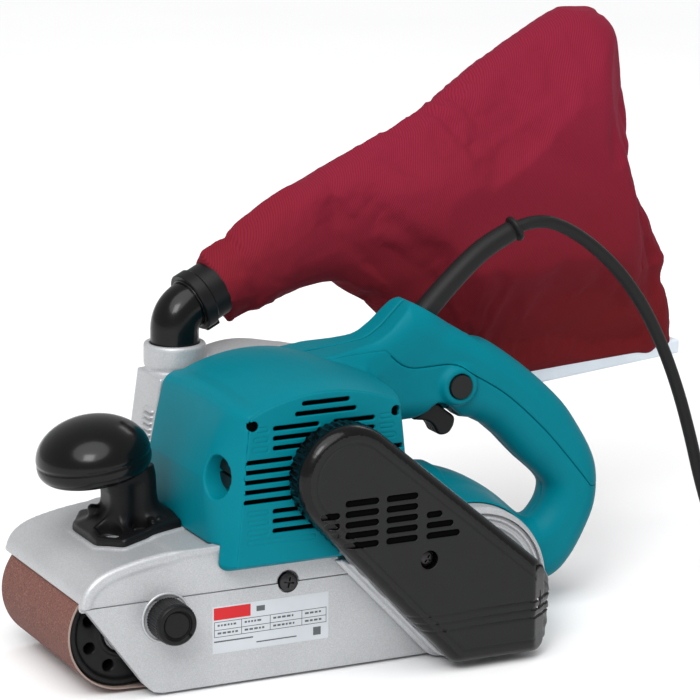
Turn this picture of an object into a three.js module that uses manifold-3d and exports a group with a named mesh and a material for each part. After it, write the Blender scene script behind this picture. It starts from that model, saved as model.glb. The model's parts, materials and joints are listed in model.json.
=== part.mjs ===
// A handheld belt sander: an aluminium body over a 100 mm wide abrasive belt, a cross-mounted
// motor under a moulded housing, a toothed-belt drive on the near side, a blower with a dust bag
// on the far side, a D-handle behind and a round grip in front.
//
// Frame: millimetres, +Z up. The nose points to -X, the drive cover to -Y, the dust outlet to +Y.
// z = 0 is the flat underside of the abrasive belt, x = 0 is midway between the two rollers and
// y = 0 is the middle of the belt.
import * as THREE from "three";
import { mergeVertices } from "three/addons/utils/BufferGeometryUtils.js";
import Module from "manifold-3d";

const wasm = await Module();
wasm.setup();

// ---------------------------------------------------------------- driving dimensions
const gap = 0.3; // clearance between touching pieces

// Abrasive belt and its rollers.
const beltLength = 610;
const beltWidth = 100;
const beltThickness = 1;
const rollerRadius = 30.5;
const rollerLength = 96;
const rollerRise = 2; // the rollers run this much above the sole
const axleRadius = 5;
const bearingRadius = 11;
const bearingWidth = 7;
const driveBearingRadius = 16;
const sleeveThickness = 3;

// Body casting.
const wall = 3;
const roofClearance = 8.5;
const roofThickness = 3.5;
const sideGap = 5; // from the belt's edge to the near wall
const nearWall = 5;
const sidePlateThickness = 2.7;
const seatDepth = 15; // how far the drive cover's seat stands off the near wall

// Motor and its housing.
const motorX = 6;
const motorRise = 39; // motor axis above the deck
const motorShaftRadius = 6;
const statorRadius = 34;
const armatureRadius = 19.5;
const commutatorRadius = 12.5;
const housingFar = 27; // y where the housing meets the blower
const housingNose = 62; // housing's front face ahead of the motor axis
const housingTail = 57; // housing's rear face behind the motor axis
const housingCrown = 53; // top of the housing above the motor axis
const housingEdge = 7; // soft edge round the near face
const capRadius = 8.3;
const brushHoleRadius = 12.5;

// Drive.
const smallPulley = 13;
const largePulley = 23;
const driveBeltThickness = 2;
const driveBeltWidth = 12;
const driveShaftRadius = 7.5;
const carriageTravel = 8; // how far the front roller slides back to free the belt
const coverDepth = 19;

// Blower and dust outlet.
const blowerDepth = 35;
const blowerRadius = 48;
const fanRadius = 34;
const outletX = -31.5;
const outletY = 46;
const outletRadius = 17.5;
const outletHeight = 88; // top of the outlet collar above the deck
const elbowRadius = 13.7;
const cuffRadius = 16.8;
const bagTurn = 8; // degrees the bag points away from the handle
const bagThickness = 62;
const bagNeck = 19; // half the bag's thickness at the cuff

// Handle and front grip.
const handleThickness = 34;
const gripRadius = 32.5;
const lockRadius = 6.8;

// Cord.
const cordDiameter = 7.5;
const coilInner = 34;
const coilOuter = 66;
const coilHeight = 32;
const coilX = 362;
const coilY = -63.5;

// ---------------------------------------------------------------- what follows from them
const beltRadius = rollerRadius + 0.5 + beltThickness;
const neutralRadius = beltRadius - beltThickness / 2;
const rollerSpacing = (beltLength - 2 * Math.PI * neutralRadius) / 2;
const frontX = -rollerSpacing / 2;
const rearX = rollerSpacing / 2;
const rollerZ = beltRadius + rollerRise;
const halfBelt = beltWidth / 2;
const halfRoller = rollerLength / 2;
const wallInner = -(halfBelt + sideGap);
const wallOuter = wallInner - nearWall;
const plateOuter = wallOuter - gap - sidePlateThickness;
const nearY = plateOuter - 13; // the housing's near face
const seatY = plateOuter - seatDepth; // the drive cover's seat
const coverY = seatY - gap - coverDepth; // the drive cover's outer face
const farY = halfBelt + 8;
const deckZ = rollerZ + beltRadius + roofClearance + roofThickness;
const motorZ = deckZ + motorRise;
const blowerFar = housingFar + blowerDepth;
const fenderRadius = beltRadius + 15;
const armInner = halfBelt + 0.8;
const armOuter = armInner + 2.7;
const brushY = nearY + 20;
const driveMid = seatY - gap - coverDepth / 2 + 1;
const halfHandle = handleThickness / 2;

// ---------------------------------------------------------------- materials
function paint(color, roughness, metalness) {
  return new THREE.MeshStandardMaterial({ color, roughness, metalness });
}
const teal = paint(0x00808f, 0.5, 0);
const castGrey = paint(0xc4c6c8, 0.45, 0.3);
const blackPlastic = paint(0x1c1d1e, 0.45, 0);
const coverPlastic = paint(0x2e3031, 0.55, 0);
const steel = paint(0x9a9da0, 0.35, 0.9);
const darkSteel = paint(0x3a3c3e, 0.4, 0.8);
const copper = paint(0xb87333, 0.35, 0.9);
const rubber = paint(0x161616, 0.85, 0);
const abrasive = paint(0x73493f, 0.95, 0);
const graphite = paint(0x2b2b2b, 0.7, 0.1);
const brass = paint(0xb5964a, 0.3, 0.9);
const cloth = paint(0x7d2436, 0.9, 0);
const railWhite = paint(0xe2eaf2, 0.4, 0);

// ---------------------------------------------------------------- solid helpers
function solid(geometry) {
  const bare = geometry.clone();
  bare.deleteAttribute("normal");
  bare.deleteAttribute("uv");
  const merged = mergeVertices(bare, 1e-4);
  const triangles = [];
  const corners = merged.index.array;
  for (let i = 0; i < corners.length; i += 3) {
    const [a, b, c] = corners.slice(i, i + 3);
    if (a !== b && b !== c && c !== a) triangles.push(a, b, c);
  }
  return new wasm.Manifold(
    new wasm.Mesh({
      numProp: 3,
      vertProperties: merged.attributes.position.array,
      triVerts: new Uint32Array(triangles),
    }),
  );
}

function join(first, ...others) {
  return others.reduce((whole, next) => whole.add(next), first);
}

function cut(first, ...others) {
  return others.reduce((whole, next) => whole.subtract(next), first);
}

function outline(points) {
  return new THREE.Shape(points.map(([a, b]) => new THREE.Vector2(a, b)));
}

function extruded(shape, depth, bevel) {
  const options = { depth, bevelEnabled: false };
  if (bevel) {
    options.depth = depth - 2 * bevel.thickness;
    options.bevelEnabled = true;
    options.bevelThickness = bevel.thickness;
    options.bevelSize = bevel.size;
    options.bevelOffset = -bevel.size;
    options.bevelSegments = bevel.segments ?? 2;
  }
  const geometry = new THREE.ExtrudeGeometry(shape, options);
  if (bevel) geometry.translate(0, 0, bevel.thickness);
  return geometry;
}

// An outline in X and Z, extruded from y0 to y1.
function slabY(points, y0, y1, bevel) {
  const geometry = extruded(outline(points), y1 - y0, bevel);
  geometry.rotateX(Math.PI / 2).translate(0, y1, 0);
  return solid(geometry);
}

// An outline in X and Y, extruded from z0 to z1.
function slabZ(points, z0, z1, bevel) {
  return solid(extruded(outline(points), z1 - z0, bevel).translate(0, 0, z0));
}

function box(x0, x1, y0, y1, z0, z1) {
  const geometry = new THREE.BoxGeometry(x1 - x0, y1 - y0, z1 - z0);
  return solid(geometry.translate((x0 + x1) / 2, (y0 + y1) / 2, (z0 + z1) / 2));
}

// Cylinders along Y, X and Z.
function rodY(x, z, radius, y0, y1, sides = 24) {
  const geometry = new THREE.CylinderGeometry(radius, radius, y1 - y0, sides);
  return solid(geometry.translate(x, (y0 + y1) / 2, z));
}

function rodX(y, z, radius, x0, x1, sides = 24) {
  const geometry = new THREE.CylinderGeometry(radius, radius, x1 - x0, sides);
  return solid(geometry.rotateZ(Math.PI / 2).translate((x0 + x1) / 2, y, z));
}

function rodZ(x, y, radius, z0, z1, sides = 24) {
  const geometry = new THREE.CylinderGeometry(radius, radius, z1 - z0, sides);
  return solid(geometry.rotateX(Math.PI / 2).translate(x, y, (z0 + z1) / 2));
}

// A profile of [radius, height] points turned about the Z axis.
function turned(profile, sides = 24) {
  const points = profile.map(([radius, height]) => new THREE.Vector2(radius, height));
  return new THREE.LatheGeometry(points, sides).rotateX(Math.PI / 2);
}

// The convex outline round a set of [x, z, radius] circles, each grown by a margin.
function hullOfCircles(circles, grow = 0, sides = 28) {
  const points = [];
  for (const [x, z, radius] of circles) {
    for (let i = 0; i < sides; i += 1) {
      const angle = (2 * Math.PI * i) / sides;
      const reach = Math.max(radius + grow, 0.01);
      points.push([x + reach * Math.cos(angle), z + reach * Math.sin(angle)]);
    }
  }
  return convexHull(points);
}

function convexHull(points) {
  const sorted = [...points].sort((p, q) => p[0] - q[0] || p[1] - q[1]);
  const turn = (o, a, b) => (a[0] - o[0]) * (b[1] - o[1]) - (a[1] - o[1]) * (b[0] - o[0]);
  const half = (list) => {
    const chain = [];
    for (const point of list) {
      while (chain.length > 1 && turn(chain.at(-2), chain.at(-1), point) < 1e-6) chain.pop();
      chain.push(point);
    }
    return chain.slice(0, -1);
  };
  return [...half(sorted), ...half([...sorted].reverse())];
}

// A closed skin through outlines of equally many [x, z] points: each lies at its level, a share
// of the half thickness that the skin has at x.
function loftY(outlines, levels, halfThickness) {
  const count = outlines[0].length;
  const positions = outlines.flatMap((ring, k) =>
    ring.flatMap(([x, z]) => [x, levels[k] * halfThickness(x), z]),
  );
  const indices = [];
  for (let k = 0; k + 1 < levels.length; k += 1) {
    for (let i = 0; i < count; i += 1) {
      const next = (i + 1) % count;
      const [a, b, c, d] = [k * count + i, k * count + next, (k + 1) * count + next, (k + 1) * count + i];
      indices.push(a, b, c, a, c, d);
    }
  }
  const last = (levels.length - 1) * count;
  const flat = outlines[0].map(([x, z]) => new THREE.Vector2(x, z));
  for (const [a, b, c] of THREE.ShapeUtils.triangulateShape(flat, [])) {
    indices.push(a, b, c, last + a, last + c, last + b);
  }
  const geometry = new THREE.BufferGeometry();
  geometry.setAttribute("position", new THREE.Float32BufferAttribute(positions, 3));
  geometry.setIndex(indices);
  return solid(geometry);
}

// A loop of constant thickness round a set of circles, as a belt runs.
function beltLoop(circles, thickness, y0, y1, sides) {
  const outer = slabY(hullOfCircles(circles, 0, sides), y0, y1);
  const inner = slabY(hullOfCircles(circles, -thickness, sides), y0 - 1, y1 + 1);
  return cut(outer, inner);
}

function bearing(x, z, inner, outer, y0, y1) {
  return cut(rodY(x, z, outer, y0, y1, 20), rodY(x, z, inner, y0 - 1, y1 + 1, 14));
}

const sander = new THREE.Group();

function piece(name, shape, material, parent = sander) {
  let geometry = shape;
  if (!shape.isBufferGeometry) {
    const data = shape.getMesh();
    geometry = new THREE.BufferGeometry();
    geometry.setAttribute("position", new THREE.BufferAttribute(data.vertProperties, 3));
    geometry.setIndex(new THREE.BufferAttribute(data.triVerts, 1));
    geometry.computeVertexNormals();
  }
  const mesh = new THREE.Mesh(geometry, material);
  mesh.name = name;
  parent.add(mesh);
  return mesh;
}

// ---------------------------------------------------------------- shared outlines
const beltCircles = [
  [frontX, rollerZ, beltRadius],
  [rearX, rollerZ, beltRadius],
  [frontX + 39, 8, 8],
  [rearX - 39, 8, 8],
];

// The drive cover's outline, round both pulleys.
const coverCircles = [
  [motorX + 4, motorZ - 1, 30],
  [rearX - 4, rollerZ + 26, 12],
  [rearX + 23, rollerZ + 3, 13],
  [rearX + 19, 19, 15],
  [rearX - 24, 15, 11],
];

// The motor housing's outline, above the deck.
const housingCircles = [
  [motorX - housingNose + 38, motorZ + housingCrown - 38, 38],
  [motorX + housingTail - 38, motorZ + housingCrown - 38, 38],
  [motorX - housingNose + 8, deckZ + gap + 8, 8],
  [motorX + housingTail - 8, deckZ + gap + 8, 8],
];

// The same outline where it hangs down over the side plate.
const skirtCircles = [
  [motorX - housingNose + 38, motorZ + housingCrown - 38, 38],
  [motorX + housingTail - 38, motorZ + housingCrown - 38, 38],
  [motorX - housingNose + 8, deckZ - 5, 8],
  [motorX + housingTail - 27, deckZ - 5, 8],
];

const coverScrew = [rearX - 47, rollerZ + 33];
const trackingKnobAt = [frontX + 18.7, rollerZ + 9.6];
const sideScrewAt = [motorX - 18.3, deckZ - 24];
const lockAt = [rearX + 12, deckZ + 61.7];
const seamZ = deckZ - 24.5;

// ---------------------------------------------------------------- abrasive belt and sole
function addBeltAndSole() {
  const soleFront = frontX + 41;
  const soleRear = rearX - 41;
  const padTop = beltThickness + gap + 2;
  const steelTop = padTop + gap + 1.8;
  const belt = beltLoop(beltCircles, beltThickness, -halfBelt, halfBelt, 36);
  const noseUp = (x) => box(x, x + 2, -halfBelt + 1, halfBelt - 1, padTop + gap, padTop + 7);
  const shoe = box(soleFront - 2, soleRear + 2, -halfBelt + 1, halfBelt - 1, padTop + gap, steelTop);
  piece("sanding_belt", belt, abrasive);
  piece(
    "platen_pad",
    box(soleFront, soleRear, -halfBelt + 1, halfBelt - 1, beltThickness + gap, padTop),
    graphite,
  );
  piece("platen", join(shoe, noseUp(soleFront - 2), noseUp(soleRear)), steel);
  return steelTop;
}

// ---------------------------------------------------------------- front roller and its yoke
function addFrontRoller() {
  const pocket = bearingWidth + gap;
  const lightening = [];
  for (let i = 0; i < 8; i += 1) {
    const angle = (2 * Math.PI * (i + 0.5)) / 8;
    const x = frontX + 20 * Math.cos(angle);
    const z = rollerZ + 20 * Math.sin(angle);
    lightening.push(rodY(x, z, 3, -halfRoller - 1, halfRoller + 1, 8));
  }
  const roller = cut(
    rodY(frontX, rollerZ, rollerRadius, -halfRoller, halfRoller, 36),
    rodY(frontX, rollerZ, axleRadius + 1.5, -halfRoller - 1, halfRoller + 1, 16),
    rodY(frontX, rollerZ, bearingRadius + gap, -halfRoller - 1, -halfRoller + pocket),
    rodY(frontX, rollerZ, bearingRadius + gap, halfRoller - pocket, halfRoller + 1),
    ...lightening,
  );
  piece("front_roller", roller, blackPlastic);
  for (const [name, y] of [
    ["front_bearing_near", -halfRoller],
    ["front_bearing_far", halfRoller - bearingWidth],
  ]) {
    const ring = bearing(frontX, rollerZ, axleRadius + gap, bearingRadius, y, y + bearingWidth);
    piece(name, ring, steel);
  }
  piece("front_axle", rodY(frontX, rollerZ, axleRadius, -armOuter, armOuter, 16), steel);
}

// The yoke carries the front roller and slides fore and aft on its stem.
function addYokeAndTension() {
  const barX = frontX + rollerRadius + 3;
  const armTip = barX + 5 + 8;
  const stemEnd = barX + 52;
  const stopX = stemEnd + 40;
  const armOutline = hullOfCircles(
    [
      [frontX, rollerZ, 10],
      [armTip - 8, rollerZ, 8],
    ],
    0,
    24,
  );
  const axleHole = rodY(frontX, rollerZ, axleRadius + gap, -armOuter - 1, armOuter + 1, 16);
  const yoke = cut(
    join(
      slabY(armOutline, -armOuter, -armInner),
      slabY(armOutline, armInner, armOuter),
      box(barX, barX + 10, -armOuter, armOuter, rollerZ - 7, rollerZ + 7),
      box(barX + 9, stemEnd, -8, 8, rollerZ - 7, rollerZ + 7),
    ),
    axleHole,
  );
  piece("roller_yoke", yoke, castGrey);

  const turns = 6;
  const stepsPerTurn = 7;
  const springRadius = 5.4;
  const wire = 0.8;
  const length = stopX - stemEnd - 2 * (gap + wire);
  const points = [];
  for (let i = 0; i <= turns * stepsPerTurn; i += 1) {
    const share = i / (turns * stepsPerTurn);
    const angle = 2 * Math.PI * turns * share;
    const x = stemEnd + gap + wire + share * length;
    points.push(
      new THREE.Vector3(
        x,
        springRadius * Math.cos(angle),
        rollerZ + springRadius * Math.sin(angle),
      ),
    );
  }
  const wireSection = outline(hullOfCircles([[0, 0, wire]], 0, 5));
  const spring = new THREE.ExtrudeGeometry(wireSection, {
    steps: turns * stepsPerTurn,
    bevelEnabled: false,
    extrudePath: new THREE.CatmullRomCurve3(points),
  });
  piece("tension_spring", spring, steel);

  // The lever on the open side draws the yoke back to free the belt.
  const pivotX = stemEnd - 4;
  const leverY = armOuter + 5.5;
  const blade = hullOfCircles(
    [
      [pivotX, rollerZ, 6],
      [pivotX + 34, rollerZ - 4, 4],
    ],
    0,
    20,
  );
  const lever = join(
    slabY(blade, leverY, leverY + 3.5),
    rodY(pivotX, rollerZ, 3.5, leverY - 6, leverY + 1, 16),
    rodY(pivotX + 34, rollerZ - 4, 4, leverY, leverY + 9, 16),
  );
  piece("tension_lever", lever, darkSteel);
  return { armTip, stemEnd, stopX, pivotX, leverY };
}

// ---------------------------------------------------------------- rear roller and its shaft
function addDriveRoller() {
  const core = rollerRadius - sleeveThickness - gap;
  const bore = driveShaftRadius + gap;
  const hub = cut(
    rodY(rearX, rollerZ, core, -halfRoller, halfRoller, 32),
    rodY(rearX, rollerZ, bore, -halfRoller - 1, halfRoller + 1, 16),
  );
  const sleeve = cut(
    rodY(rearX, rollerZ, rollerRadius, -halfRoller, halfRoller, 36),
    rodY(rearX, rollerZ, rollerRadius - sleeveThickness, -halfRoller - 1, halfRoller + 1, 32),
  );
  piece("drive_roller", hub, steel);
  piece("roller_sleeve", sleeve, rubber);
  const shaft = join(
    rodY(rearX, rollerZ, driveShaftRadius, coverY + 4.5, halfBelt + 0.6, 16),
    rodY(rearX, rollerZ, axleRadius, halfBelt, halfBelt + 7, 16),
  );
  piece("drive_shaft", shaft, steel);
  const nearRing = bearing(
    rearX,
    rollerZ,
    driveShaftRadius + gap,
    driveBearingRadius,
    wallOuter,
    wallInner - gap,
  );
  piece("drive_bearing_near", nearRing, steel);
  const farRing = bearing(
    rearX,
    rollerZ,
    axleRadius + gap,
    bearingRadius,
    halfBelt + 1.2,
    halfBelt + 6,
  );
  piece("drive_bearing_far", farRing, steel);
}
// ---------------------------------------------------------------- body casting
// Roof line from the front lip to the deck, as points above the belt.
function roofLine() {
  return [
    [frontX - 27.2, deckZ - 24.8],
    [frontX - 25, deckZ - 18],
    [frontX - 20.5, deckZ - 12.5],
    [frontX - 12, deckZ - 8],
    [frontX + 4, deckZ - 4.2],
    [frontX + 22, deckZ - 1.8],
    [frontX + 44, deckZ],
  ];
}

// The roof in section: its underside follows the belt over the nose, then runs flat.
function roofStrip() {
  const rear = rearX - 12;
  const under = [];
  const clear = beltRadius + 0.9;
  for (const angle of [144, 134, 124, 112]) {
    const turn = (angle * Math.PI) / 180;
    under.push([frontX + clear * Math.cos(turn), rollerZ + clear * Math.sin(turn)]);
  }
  under.push([frontX + 4, deckZ - 4.2 - roofThickness], [frontX + 44, deckZ - roofThickness]);
  return [...roofLine(), [rear, deckZ], [rear, deckZ - roofThickness], ...under.reverse()];
}

// The near wall, from the sole's edge up to the roof, round the rear roller.
function nearWallOutline(lowest) {
  const points = [
    [frontX - 26.5, deckZ - 25.5],
    [frontX + 7, lowest + 5.5],
    [frontX + 11.5, lowest + 1.2],
    [frontX + 17, lowest],
  ];
  const arcSteps = 12;
  const reach = fenderRadius - wall - gap;
  const from = Math.asin((lowest - rollerZ) / reach);
  const to = (104 * Math.PI) / 180;
  for (let i = 0; i <= arcSteps; i += 1) {
    const angle = from + ((to - from) * i) / arcSteps;
    points.push([rearX + reach * Math.cos(angle), rollerZ + reach * Math.sin(angle)]);
  }
  points.push([rearX - 12.2, deckZ - 0.2]);
  const inside = roofLine().map(([x, z]) => [x + 0.2, z - 0.2]);
  return [...points, ...inside.reverse().slice(0, -1)];
}

function addFrame(steelTop, yoke) {
  const lowest = 1.5;
  const beamFront = yoke.armTip + carriageTravel + 2 * gap;
  const beamRear = rearX - 41 - gap;
  const beamLow = steelTop + gap;
  const beamTop = rollerZ + 20;
  const wallSlab = slabY(nearWallOutline(lowest), wallOuter, wallInner);
  const upperRim = slabY(
    [
      [frontX - 26.9, seamZ + gap],
      [motorX + 60, seamZ + gap],
      [motorX + 60, deckZ],
      ...roofLine().reverse().slice(0, -1),
    ],
    plateOuter,
    wallOuter + 0.5,
  );
  const plateRoom = box(-300, 300, plateOuter - 1, wallOuter, -10, seamZ + gap);
  const roof = cut(slabY(roofStrip(), plateOuter, farY), plateRoom);
  const beam = box(beamFront, beamRear, wallInner - 1, halfBelt + 0.8, beamLow, beamTop);
  const channel = box(beamFront - 1, yoke.stopX, -8 - gap, 8 + gap, rollerZ - 7.4, rollerZ + 7.4);
  const farPocket = box(beamFront + 4, beamRear - 4, 13, halfBelt - 4, beamLow + 4, beamTop + 1);
  const nearPocket = box(beamFront + 4, beamRear - 4, wallInner + 4, -13, beamLow + 4, beamTop + 1);
  const rearArm = slabY(
    hullOfCircles(
      [
        [rearX, rollerZ, 15],
        [beamRear - 12, rollerZ, 12],
      ],
      0,
      24,
    ),
    halfBelt + 0.7,
    halfBelt + 7,
  );
  const leverHole = rodY(yoke.pivotX, rollerZ, 3.5 + gap, armOuter - 4, farY + 2, 16);
  const leverBoss = rodY(yoke.pivotX, rollerZ, 8, halfBelt - 4, yoke.leverY - 0.4, 20);
  const seat = cut(
    slabY(hullOfCircles(coverCircles, 0.8), seatY, wallInner - 0.5),
    slabY(hullOfCircles(coverCircles, -3), seatY - 1, wallOuter),
    box(-300, 300, seatY - 1, wallInner, deckZ, 400),
    box(-300, motorX + housingTail + 1, seatY - 1, wallInner, deckZ - 13.6, 400),
  );
  const post = cut(
    rodY(...coverScrew, 5, coverY + 6.5, wallOuter + 0.5, 16),
    rodY(...coverScrew, 2.4, coverY + 5, seatY + 6, 12),
  );
  const casting = cut(
    join(wallSlab, upperRim, roof, beam, rearArm, leverBoss, seat, post),
    channel,
    farPocket,
    nearPocket,
    leverHole,
    rodY(rearX, rollerZ, driveBearingRadius + gap, wallOuter - 1, wallInner - gap + 0.01),
    rodY(rearX, rollerZ, driveShaftRadius + 2, wallOuter - 1, wallInner + 1),
    rodY(rearX, rollerZ, bearingRadius + gap, halfBelt + 0.9, halfBelt + 6.3),
    rodY(rearX, rollerZ, axleRadius + 1, halfBelt - 1, halfBelt + 8),
    rodY(...trackingKnobAt, 4 + gap, wallOuter - 1, wallInner + 1, 12),
    rodY(...sideScrewAt, 2.5 + gap, plateOuter - 1, wallInner + 1, 12),
    rodY(...sideScrewAt, 6.2, plateOuter - 1, wallOuter, 20),
    box(motorX - 30, motorX + 40, 30, 54, deckZ - 5, deckZ + 1),
  );
  piece("frame_casting", casting, castGrey);
}

// The plate screwed over the lower half of the near wall.
function addSidePlate() {
  const lowest = 1.5;
  const slope = (frontX + 7 - (frontX - 26.5)) / (lowest + 5.5 - (deckZ - 25.5));
  const topFront = frontX + 7 + slope * (seamZ - (lowest + 5.5));
  const points = [
    [topFront, seamZ],
    [frontX + 7, lowest + 5.5],
    [frontX + 11.5, lowest + 1.2],
    [frontX + 17, lowest],
    [rearX - 24, lowest],
    [motorX + 60, seamZ],
  ];
  const plate = cut(
    slabY(points, plateOuter, wallOuter - gap),
    slabY(hullOfCircles(coverCircles, 1.4), plateOuter - 1, wallOuter + 1),
    rodY(...trackingKnobAt, 4 + gap, plateOuter - 1, wallOuter, 12),
    rodY(...sideScrewAt, 6.2, plateOuter - 1, wallOuter, 20),
  );
  piece("side_plate", plate, castGrey);
  const screw = join(
    rodY(...sideScrewAt, 5.5, plateOuter - 1.2, wallOuter - gap, 20),
    rodY(...sideScrewAt, 2.5, wallOuter - gap - 0.2, wallInner, 12),
  );
  piece("side_screw", screw, darkSteel);
}

// The curved guard over the rear roller.
function addFender() {
  const steps = 16;
  const arc = (radius, from, to) => {
    const points = [];
    for (let i = 0; i <= steps; i += 1) {
      const angle = ((from + ((to - from) * i) / steps) * Math.PI) / 180;
      points.push([rearX + radius * Math.cos(angle), rollerZ + radius * Math.sin(angle)]);
    }
    return points;
  };
  const ring = [
    ...arc(fenderRadius, -40, 100),
    ...arc(fenderRadius - wall, 100, -40),
  ];
  const guard = slabY(ring, plateOuter, farY);
  const seatRoom = slabY(hullOfCircles(coverCircles, 1.4), plateOuter - 1, wallInner - 0.2);
  piece("rear_fender", cut(guard, seatRoom), castGrey);
}

// ---------------------------------------------------------------- tracking knob
function addTrackingKnob() {
  const [x, z] = trackingKnobAt;
  const ribs = 24;
  const rim = [];
  for (let i = 0; i < ribs * 2; i += 1) {
    const angle = (Math.PI * i) / ribs;
    const radius = i % 2 ? 11.8 : 11.2;
    rim.push([x + radius * Math.cos(angle), z + radius * Math.sin(angle)]);
  }
  const face = plateOuter - 16.5;
  const knob = cut(
    slabY(rim, face, plateOuter - 1),
    rodY(x, z, 8.2, face - 1, face + 1.2, 24),
    rodY(x, z, 3 + gap, face + 5, plateOuter, 12),
  );
  piece("tracking_knob", knob, blackPlastic);
  piece("tracking_screw", rodY(x, z, 3, face + 5 + gap, wallInner + 0.5, 12), steel);
}

// ---------------------------------------------------------------- motor housing
function housingBody(grow, nearLimit) {
  const soft = { thickness: 11, size: housingEdge + grow, segments: 2 };
  const upper = slabY(hullOfCircles(housingCircles, grow), nearLimit, housingFar + 30, soft);
  const lower = slabY(hullOfCircles(skirtCircles, grow), nearLimit, housingFar + 30, soft);
  const room = 200;
  const above = box(-room, room, nearLimit - 1, housingFar, deckZ + gap - Math.min(grow, 0), 300);
  const hanging = box(-room, room, nearLimit - 1, plateOuter - gap + Math.min(grow, 0), 0, 300);
  return join(upper.intersect(above), lower.intersect(hanging));
}

// The vent panel's outline on the near face: slanted sides under a shallow arch.
function panelOutline(grow) {
  const arcSteps = 10;
  const archRadius = 100 + grow;
  const points = [
    [motorX - 53.5 - grow, deckZ - 8 - grow],
    [motorX + 38 + grow, deckZ - 8 - grow],
    [motorX + 47 + grow, motorZ - 12],
  ];
  for (let i = 0; i <= arcSteps; i += 1) {
    const angle = ((63.8 + (52.4 * i) / arcSteps) * Math.PI) / 180;
    const x = motorX - 2.5 + archRadius * Math.cos(angle);
    points.push([x, motorZ - 56 + archRadius * Math.sin(angle)]);
  }
  return points;
}

function brushBoss(outward, faceX, deep) {
  const inner = motorX + outward * 32;
  const [low, high] = [Math.min(faceX, inner), Math.max(faceX, inner)];
  const beyond = faceX + outward * 5;
  const [recessLow, recessHigh] = [Math.min(beyond, deep), Math.max(beyond, deep)];
  return {
    boss: rodX(brushY, motorZ, brushHoleRadius + 3, low, high, 28),
    bore: rodX(brushY, motorZ, capRadius + gap, low - 3, high + 3, 20),
    recess: rodX(brushY, motorZ, brushHoleRadius, recessLow, recessHigh, 28),
  };
}

function addHousing() {
  const outer = housingBody(0, nearY);
  const cavity = housingBody(-wall, nearY + wall);
  const cradle = slabY(hullOfCircles(housingCircles, -1), -12, -4);
  const noseX = motorX - housingNose;
  const tailX = motorX + housingTail;
  const front = brushBoss(-1, noseX + 1, noseX + 9);
  const rear = brushBoss(1, tailX - 1, tailX - 9);
  const floor = deckZ + gap + wall;
  const inside = cut(cavity, cradle.intersect(box(-200, 200, -12, -4, floor - 2, 300)));
  let shell = cut(outer, inside);
  shell = join(
    shell,
    front.boss.intersect(outer),
    rear.boss.intersect(outer),
  );
  shell = cut(
    shell,
    front.bore,
    rear.bore,
    front.recess,
    rear.recess,
    rodY(motorX, motorZ, statorRadius + gap, -60, housingFar + 1, 36),
    slabY(panelOutline(0), nearY - 1, nearY + wall + 1),
    rodY(motorX, motorZ, armatureRadius + 8, -60, -10, 24),
  );
  const lips = cut(
    slabY(panelOutline(3), nearY + wall + 0.4, nearY + wall + 2.4).intersect(outer),
    slabY(panelOutline(-3), nearY, nearY + wall + 4),
  );
  piece("motor_housing", join(shell, lips), teal);
}

// Rows of ventilation slots: [row index, [[x0, x1], ...]] below the top of the panel.
function ventSlots() {
  const pitch = 5.5;
  const height = 2.2;
  const rows = [];
  const add = (index, spans) => {
    for (const [x0, x1] of spans) {
      const z = motorZ + 40 - index * pitch;
      rows.push([motorX + x0, motorX + x1, z, z + height]);
    }
  };
  add(0, [[-16.5, 11.5]]);
  add(1, [[-20.5, 15.5]]);
  for (let i = 0; i < 3; i += 1) add(2.2 + i, [[-33.5, -6.5], [2, 26.5]]);
  for (let i = 0; i < 5; i += 1) add(5.4 + i, [[-50.5, -22], [20.5, 44.5]]);
  for (let i = 0; i < 3; i += 1) add(10.6 + i, [[-33.5, -6]]);
  return rows.map(([x0, x1, z0, z1]) => box(x0, x1, nearY - 2, nearY + 6, z0, z1));
}

function addEndCover() {
  const back = nearY + wall;
  const plate = slabY(panelOutline(-gap), nearY - 0.5, back);
  const boss = rodY(motorX, motorZ, bearingRadius + 4, back - 1, back + 8.5);
  const bearingSeat = rodY(motorX, motorZ, bearingRadius + gap, back + 0.6, back + 9);
  const shaftHole = rodY(motorX, motorZ, motorShaftRadius + 1, nearY - 2, back + 9, 16);
  const screwHoles = [-45, 39.5].map((x) => rodY(motorX + x, motorZ + 29.6, 3, nearY - 2, back + 1, 12));
  const cover = cut(
    join(cut(plate, ...ventSlots()), boss),
    bearingSeat,
    shaftHole,
    ...screwHoles,
  );
  piece("motor_end_cover", cover, teal);
}

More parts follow.
